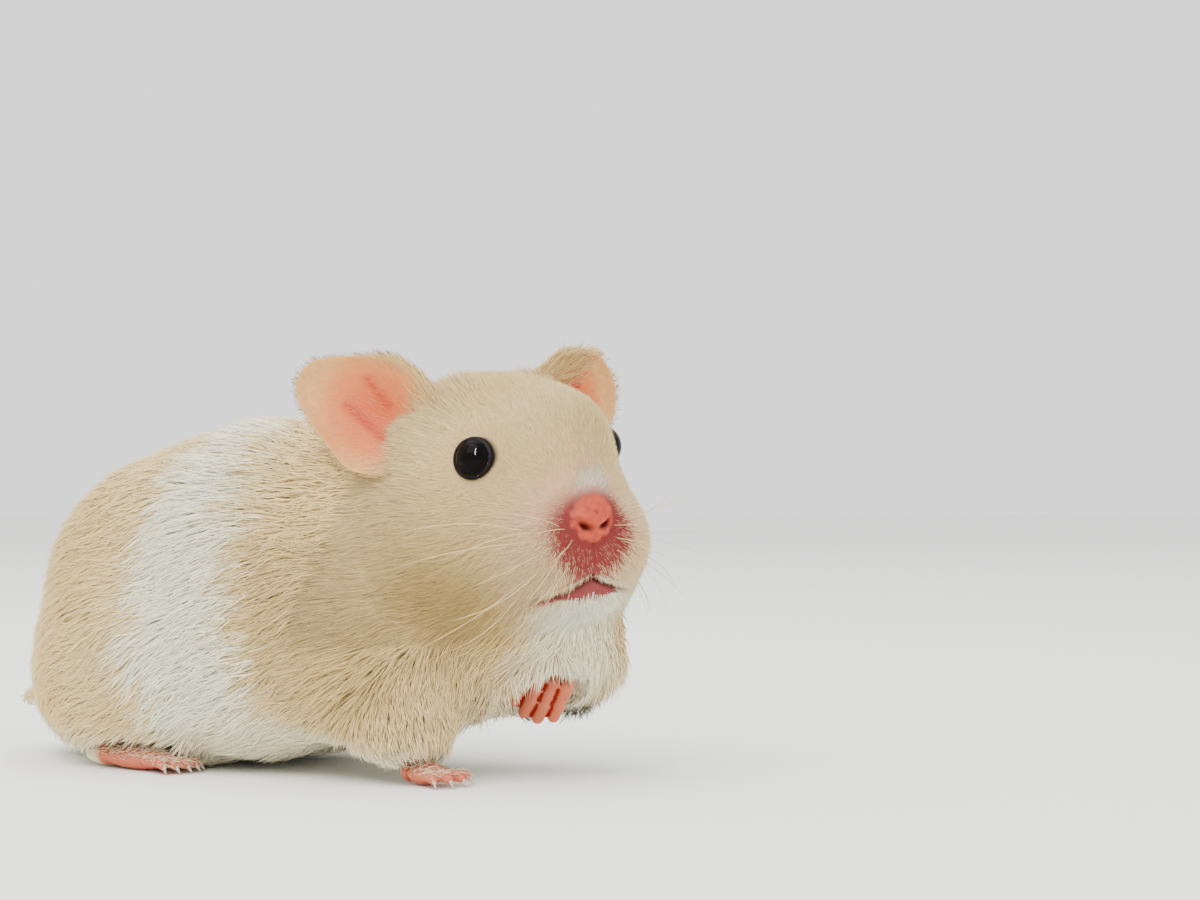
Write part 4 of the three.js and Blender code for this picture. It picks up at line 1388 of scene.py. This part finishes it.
@dataclass
class Coat:
    """The coat in pieces, each on its own stretch of the skin."""

    head: HeadFrame
    face: Face
    lie: Lie
    markings: Markings
    finish: Finish = Finish("coat", roughness=0.72, sheen=0.25, grain=0.06, grain_scale=1500.0, specular=0.25)
    body_density: float = 8.0
    face_density: float = 36.0
    body_width: float = 0.27
    face_width: float = 0.18
    leg_density: float = 11.0
    blaze_density: float = 30.0
    snout: Patch = Patch((0, -9.5, -11.2), 7.5, 3.5, (0.85, 1, 1))  # where the coat is thin
    fore_end: float = -8.0
    rump_start: float = 17.0

    def density(self, points: Array, normals: Array) -> Array:
        """The roots to a square millimetre at each vertex, with none on the eyes, nose and lips."""
        spots = self.head.read(points)
        on_head = self.lie.on_head(points)
        density = mix(self.body_density, self.face_density, on_head)
        density = mix(density, self.leg_density, self.lie.on_legs(points))
        for side in Side:
            radius, slant = self.face.lid(spots, side)
            bare = step(14, 11, self.face.rim(spots, slant))
            density = np.where(radius < 5, density * (1 - bare), density)
        density = density * (1 - 0.87 * self.snout.share(spots))
        density = density + self.blaze_density * self.face.blaze.share(spots)
        density = density * step(1.0, 1.25, self.face.from_nose(spots))
        open_lips = step(9, 5, np.abs(spots[:, 0])) * step(-0.15, 0.1, self.face.from_slit(spots))
        density = density * (1 - open_lips * step(1.15, 0.55, self.face.from_mouth(spots)))
        density = density * (1 - 0.75 * step(43, 46, points[:, 1]) * step(14, 10, points[:, 2]))
        return density * step(0.2, 0.8, points[:, 2])

    def fineness(self, points: Array) -> Array:
        """What share of its usual width a tuft has: less round the nose and the eyes."""
        spots = self.head.read(points)
        near_nose = step(9, 4, np.linalg.norm(spots - self.face.nose, axis=1))
        near_eye = step(6, 3, self.face.from_eyes(spots))
        return 1 - np.maximum(0.68 * near_nose, 0.45 * near_eye)

    def region(self, points: Array) -> Array:
        """The number of each root's piece, in the order of the names that `build` gives."""
        front = self.lie.on_head(points) > 0.5
        spots = self.head.read(points)
        left = np.where(front, spots[:, 0] > 0, points[:, 0] > 0)
        band = np.select([front, points[:, 1] < self.fore_end, points[:, 1] < self.rump_start], [0, 1, 2], 3)
        return band * 2 + left

    def unwrap(self, roots: Array) -> Array:
        """Each root's place on an unwrap of the skin's own shape, from its piece's middle.

        Args:
            roots: the piece's roots.

        Returns:
            Two numbers a root, from 0.02 to 0.98.
        """
        low, high = roots.min(axis=0), roots.max(axis=0)
        side = 1 if abs(high[0]) > abs(low[0]) else -1
        middle = (low + high) / 2
        middle[0] = low[0] + 1 if side > 0 else high[0] - 1
        ways = unit(roots - middle)
        turn = np.arctan2(ways[:, 2], side * ways[:, 0])
        flat = np.stack([turn, np.arcsin(np.clip(ways[:, 1], -1, 1))], axis=1)
        span = flat.max(axis=0) - flat.min(axis=0)
        return 0.02 + 0.96 * (flat - flat.min(axis=0)) / span

    def build(self, skin: bpy.types.Object) -> None:
        """Grows the coat on a skin, still in millimetres.

        Args:
            skin: the skin.
        """
        material = self.finish.material()
        rng = np.random.default_rng(SEED)
        surface = Surface.of(skin)
        roots, normals = surface.scatter(self.density(surface.points, surface.normals), rng)
        pieces = self.region(roots)
        stretches = ("head", "fore", "flank", "rump")
        names = [f"coat_{stretch}_{side}" for stretch in stretches for side in ("right", "left")]
        for number, name in enumerate(names):
            here = pieces == number
            self.piece(name, roots[here], normals[here], material, rng)

    def on_ear(self, ear: Ear, leaf: bpy.types.Object) -> None:
        """Grows an ear's short fuzz: close on its back and rim, and sparse inside.

        Args:
            ear: the ear.
            leaf: its flesh.
        """
        rng = np.random.default_rng(SEED + 1)
        surface = Surface.of(leaf)
        _, up = ear.read(surface.points)
        inside = mix(2.5, 11.0, ear.fringe(surface.points))
        density = mix(inside, 13.0, ear.on_back(surface.normals)) * step(-0.05, 0.08, up)
        roots, normals = surface.scatter(density, rng)
        count = len(roots)
        across, up = ear.read(roots)
        fringe, back = ear.fringe(roots), ear.on_back(normals)
        ways = unit(roots - self.head.place(ear.root)) + 0.15 * rng.normal(0, 1, (count, 3))
        pale = blend(ear.colours(roots), self.markings.pale_cream, 0.45)
        tones = blend(pale, self.markings.cream, np.maximum(back, 0.9 * fringe))
        lengths = mix(mix(1.1, 2.6, fringe), mix(2.6, 1.2, step(0.2, 0.8, up)), back)
        tufts = Tufts(
            roots=roots,
            normals=normals,
            ways=laid_on(ways, normals),
            lengths=lengths * rng.uniform(0.7, 1.2, count),
            widths=mix(0.07, 0.13, np.maximum(back, fringe)) * rng.uniform(0.8, 1.2, count),
            lifts=mix(24, 17, back) + rng.normal(0, 4, count),
            tones=tones * (1 + 0.06 * rng.normal(0, 1, count))[:, None],
            sink=0.1,
            clump=0.15,
            softness=0.1,
        )
        flat = np.stack([0.25 * across + 0.25 + 0.5 * (back > 0.5), up], axis=1)
        made = tufts.build(f"coat_ear_{ear.side.label}", 0.02 + 0.96 * np.clip(flat, 0, 1), rng)
        finish_piece(made, self.finish.material(), Slot.CREAM)

    def on_paw(self, paw: Paw, flesh: bpy.types.Object) -> None:
        """Grows the fine short hairs on the upper side of a paw.

        Args:
            paw: the paw.
            flesh: its flesh.
        """
        rng = np.random.default_rng(SEED + 2)
        surface = Surface.of(flesh)
        _, backward, upward = np.array(paw.frame())[:3, :3].T
        bare_end = -paw.palm[1] - paw.furred * paw.toe_length
        furred = step(bare_end, bare_end + 2.5, paw.read(surface.points)[:, 1])
        furred = furred * step(0.0, 0.4, surface.normals @ upward)
        roots, normals = surface.scatter(self.body_density * furred, rng)
        count = len(roots)
        ways = 0.25 * rng.normal(0, 1, (count, 3)) - backward
        toned = blend(self.markings.muzzle, self.markings.belly, rng.random(count))
        tufts = Tufts(
            roots=roots,
            normals=normals,
            ways=laid_on(ways, normals),
            lengths=rng.uniform(0.9, 1.6, count),
            widths=np.full(count, 0.1),
            lifts=rng.normal(20, 5, count),
            tones=toned,
            sink=0.08,
            clump=0.0,
            softness=0.1,
        )
        made = tufts.build(f"coat_{paw.node}", self.unwrap(roots), rng)
        finish_piece(made, self.finish.material(), Slot.WHITE)

    def piece(
        self, name: str, roots: Array, normals: Array, material: bpy.types.Material, rng: np.random.Generator
    ) -> None:
        """One piece of the coat.

        Args:
            name: its name.
            roots: its roots.
            normals: the skin's normals there.
            material: its material.
            rng: the random numbers.
        """
        count = len(roots)
        on_head = self.lie.on_head(roots)
        strays = rng.normal(0, 1, (count, 3))
        tones = self.markings.coat(roots + 1.8 * strays * [0.4, 1, 0.4], normals)
        tones = tones * (1 + mix(0.07, 0.13, on_head) * rng.normal(0, 1, count))[:, None]
        lengths = self.lie.length(roots) + 3.2 * self.lie.before_ears(roots)
        widths = mix(self.body_width, self.face_width, on_head) * self.fineness(roots)
        open_coat = np.maximum(self.lie.on_legs(roots), step(0, -0.6, normals[:, 2]))
        tufts = Tufts(
            roots=roots,
            normals=normals,
            ways=laid_on(self.lie.way(roots, normals) + 0.1 * strays, normals),
            lengths=lengths * rng.uniform(0.75, 1.2, count),
            widths=widths * rng.uniform(0.8, 1.25, count),
            lifts=self.lie.lift(roots) + mix(5, 9, on_head) * rng.normal(0, 1, count),
            tones=tones,
            softness=mix(mix(0.47, 0.36, on_head), 0.1, open_coat),
            clump=mix(0.22, 0.36, on_head.mean()),
            stations=(0.0,) if name.startswith("coat_head") else (0.0, 0.5),
        )
        made = tufts.build(name, self.unwrap(roots), rng)
        white = self.markings.band(roots).mean() > 0.4
        finish_piece(made, material, Slot.WHITE if white else Slot.CREAM)


# ---------------------------------------------------------------- whiskers
@dataclass(frozen=True)
class Whiskers:
    """The whiskers: rows on each side of the muzzle."""

    head: HeadFrame
    finish: Finish = Finish("whisker", roughness=0.4)
    rows: int = 4
    in_row: int = 4
    longest: float = 23.0
    shortest: float = 7.0
    thickness: float = 0.1
    colour: Array = painted(238, 210, 152)

    def roots(self, side: Side) -> tuple[Array, Array, Array]:
        """Where one side's whiskers start, the way they go and how long they are, in the head's frame."""
        starts, ways, lengths = [], [], []
        for row in range(self.rows):
            low = row / (self.rows - 1)
            for number in range(self.in_row):
                back = number / (self.in_row - 1)
                out, height = 3.6 + 3.6 * back, -9.6 - 4.6 * low - 0.8 * back
                starts.append([side.value * out, -9.5 + 3.4 * back, height])
                ways.append([side.value * 0.75, 0.45 + 0.5 * back, -0.05 - 0.75 * low])
                lengths.append(self.shortest + (self.longest - self.shortest) * back * (1 - 0.3 * low))
        return np.array(starts), unit(np.array(ways)), np.array(lengths)

    def build(self, skin: bpy.types.Object) -> None:
        """Sets the whiskers in the skin, still in millimetres.

        Args:
            skin: the skin.
        """
        material = self.finish.material()
        rng = np.random.default_rng(SEED + 3)
        for side in Side:
            starts, ways, lengths = self.roots(side)
            starts = starts + rng.normal(0, 0.25, starts.shape)
            found = [skin.closest_point_on_mesh(Vector(spot)) for spot in self.head.place(starts)]
            roots = np.array([hit[1] for hit in found])
            normals = np.array([hit[2] for hit in found])
            heading = unit(ways @ self.head.axes + 0.12 * rng.normal(0, 1, ways.shape))
            count = len(roots)
            tufts = Tufts(
                roots=roots,
                normals=normals,
                ways=laid_on(heading, normals),
                lengths=lengths * rng.uniform(0.8, 1.15, count),
                widths=np.full(count, self.thickness),
                lifts=rng.uniform(26, 44, count),
                tones=np.tile(self.colour, (count, 1)),
                stations=(0.0, 0.12, 0.26, 0.4, 0.55, 0.7, 0.85),
                droop=0.75,
                clump=0.0,
                root_shade=0.8,
                softness=0.2,
            )
            flat = np.stack([np.linspace(0.05, 0.95, count), (np.arange(count) * 0.37) % 0.9 + 0.05], axis=1)
            made = tufts.build(f"whiskers_{side.label}", flat, rng)
            finish_piece(made, material, Slot.WHITE)


# ---------------------------------------------------------------- the studio
@dataclass(frozen=True)
class Lamp:
    """A soft lamp: an area light that faces the animal."""

    name: str
    bearing: float  # degrees round the animal, 0 in front of it
    height: float  # degrees over the floor
    away: float  # metres
    size: tuple[float, float]
    power: float
    warmth: tuple[float, float, float] = (1.0, 1.0, 1.0)
    only_glints: bool = False  # whether only glossy surfaces show it

    def build(self, target: Vector) -> None:
        """Hangs the lamp and turns it to a point."""
        light = bpy.data.lights.new(self.name, "AREA")
        light.shape = "RECTANGLE"
        light.size, light.size_y = self.size
        light.energy = self.power
        light.color = self.warmth
        lamp = bpy.data.objects.new(self.name, light)
        a, e = math.radians(self.bearing), math.radians(self.height)
        back = Vector((math.sin(a) * math.cos(e), -math.cos(a) * math.cos(e), math.sin(e)))
        lamp.location = target + back * self.away
        lamp.rotation_euler = back.to_track_quat("Z", "Y").to_euler()
        lamp.visible_diffuse = not self.only_glints
        bpy.context.scene.collection.objects.link(lamp)


@dataclass(frozen=True)
class Studio:
    """The pale floor, the soft light and the camera."""

    floor_size: float = 8.0
    floor_tone: Array = painted(248, 250, 246)
    sky_tone: tuple[float, float, float] = (0.97, 0.98, 0.97)
    sky_strength: float = 1.6
    lit_point: tuple[float, float, float] = (0.0, 0.0, 0.025)  # metres
    camera_at: tuple[float, float, float] = (-291.97, -216.41, 38.0)
    bearing: float = 60.0  # degrees that the camera's look is turned from +Y to +X
    rise: float = 0.91
    lens: float = 77.52
    sensor: float = 36.0
    lamps: tuple[Lamp, ...] = (
        Lamp("key", -100.0, 55.0, 0.9, (0.7, 0.7), 7.0, (1.0, 0.97, 0.92)),
        Lamp("fill", -5.0, 30.0, 1.1, (0.9, 0.9), 1.5),
        Lamp("top", 150.0, 70.0, 0.9, (0.8, 0.8), 4.0),
        Lamp("strip", -68.0, 40.0, 0.55, (0.03, 0.32), 12.0, only_glints=True),
    )

    def build(self) -> None:
        """Sets out the floor, world, lamps and camera."""
        scene = bpy.context.scene
        bm = bmesh.new()
        bmesh.ops.create_circle(bm, cap_ends=True, segments=64, radius=self.floor_size / 2)
        floor = object_of("floor", bm)
        floor_finish = bpy.data.materials.new("floor")
        floor_finish.use_nodes = True
        shader = floor_finish.node_tree.nodes["Principled BSDF"]
        shader.inputs["Base Color"].default_value = (*self.floor_tone, 1.0)
        shader.inputs["Roughness"].default_value = 0.9
        floor.data.materials.append(floor_finish)
        world = bpy.data.worlds.new("studio")
        world.use_nodes = True
        sky = world.node_tree.nodes["Background"]
        sky.inputs["Color"].default_value = (*self.sky_tone, 1.0)
        sky.inputs["Strength"].default_value = self.sky_strength
        scene.world = world
        for lamp in self.lamps:
            lamp.build(Vector(self.lit_point))
        camera = bpy.data.cameras.new("camera")
        camera.lens = self.lens
        camera.sensor_width = self.sensor
        camera.clip_start = 0.01
        holder = bpy.data.objects.new("camera", camera)
        holder.location = Vector(self.camera_at) * MM
        holder.rotation_euler = (math.radians(90 + self.rise), 0, math.radians(-self.bearing))
        scene.collection.objects.link(holder)
        scene.camera = holder


def main() -> None:
    """Builds the model: skin, coat, eyes, claws, and the studio round it."""
    head = HeadFrame.between_the_eyes()
    face = Face(head)
    lie = Lie(head, face)
    markings = Markings(head, face)
    ears = (
        Ear(
            head, Side.LEFT, root=(6.2, 11.2, 3.4), tip=(21.5, 12.3, 10.4), opening=(0.35, -1.0, 0.1),
            width=15.2, cup=2.4, furred_from=-0.1, trims=(0.38, 0.18),
        ),
        Ear(
            head, Side.RIGHT, root=(-9.2, 6.8, 1.6), tip=(-21.2, 23.7, 12.2), opening=(-1.0, -0.6, 0.25),
            width=17.7, cup=3.2, furred_from=0.55, trims=(0.42, 0.5),
            creases=((0.42, 0.62, 0.18, 0.46), (-0.06, 0.68, -0.32, 0.4)),
        ),
    )
    skin = Skin(head, face, lie, markings, ears)
    body = skin.build()
    log.info("skin shaped")
    leaves = [ear.build() for ear in ears]
    feet = [paw.build() for paw in PAWS]
    coat = Coat(head, face, lie, markings)
    coat.build(body)
    for ear, leaf in zip(ears, leaves):
        coat.on_ear(ear, leaf)
    for paw, foot in zip(PAWS, feet):
        coat.on_paw(paw, foot)
    Whiskers(head).build(body)
    skin.dress(body, leaves + feet)
    Eyes(face).build()
    Claws().build()
    Studio().build()


if __name__ == "__main__":
    main()
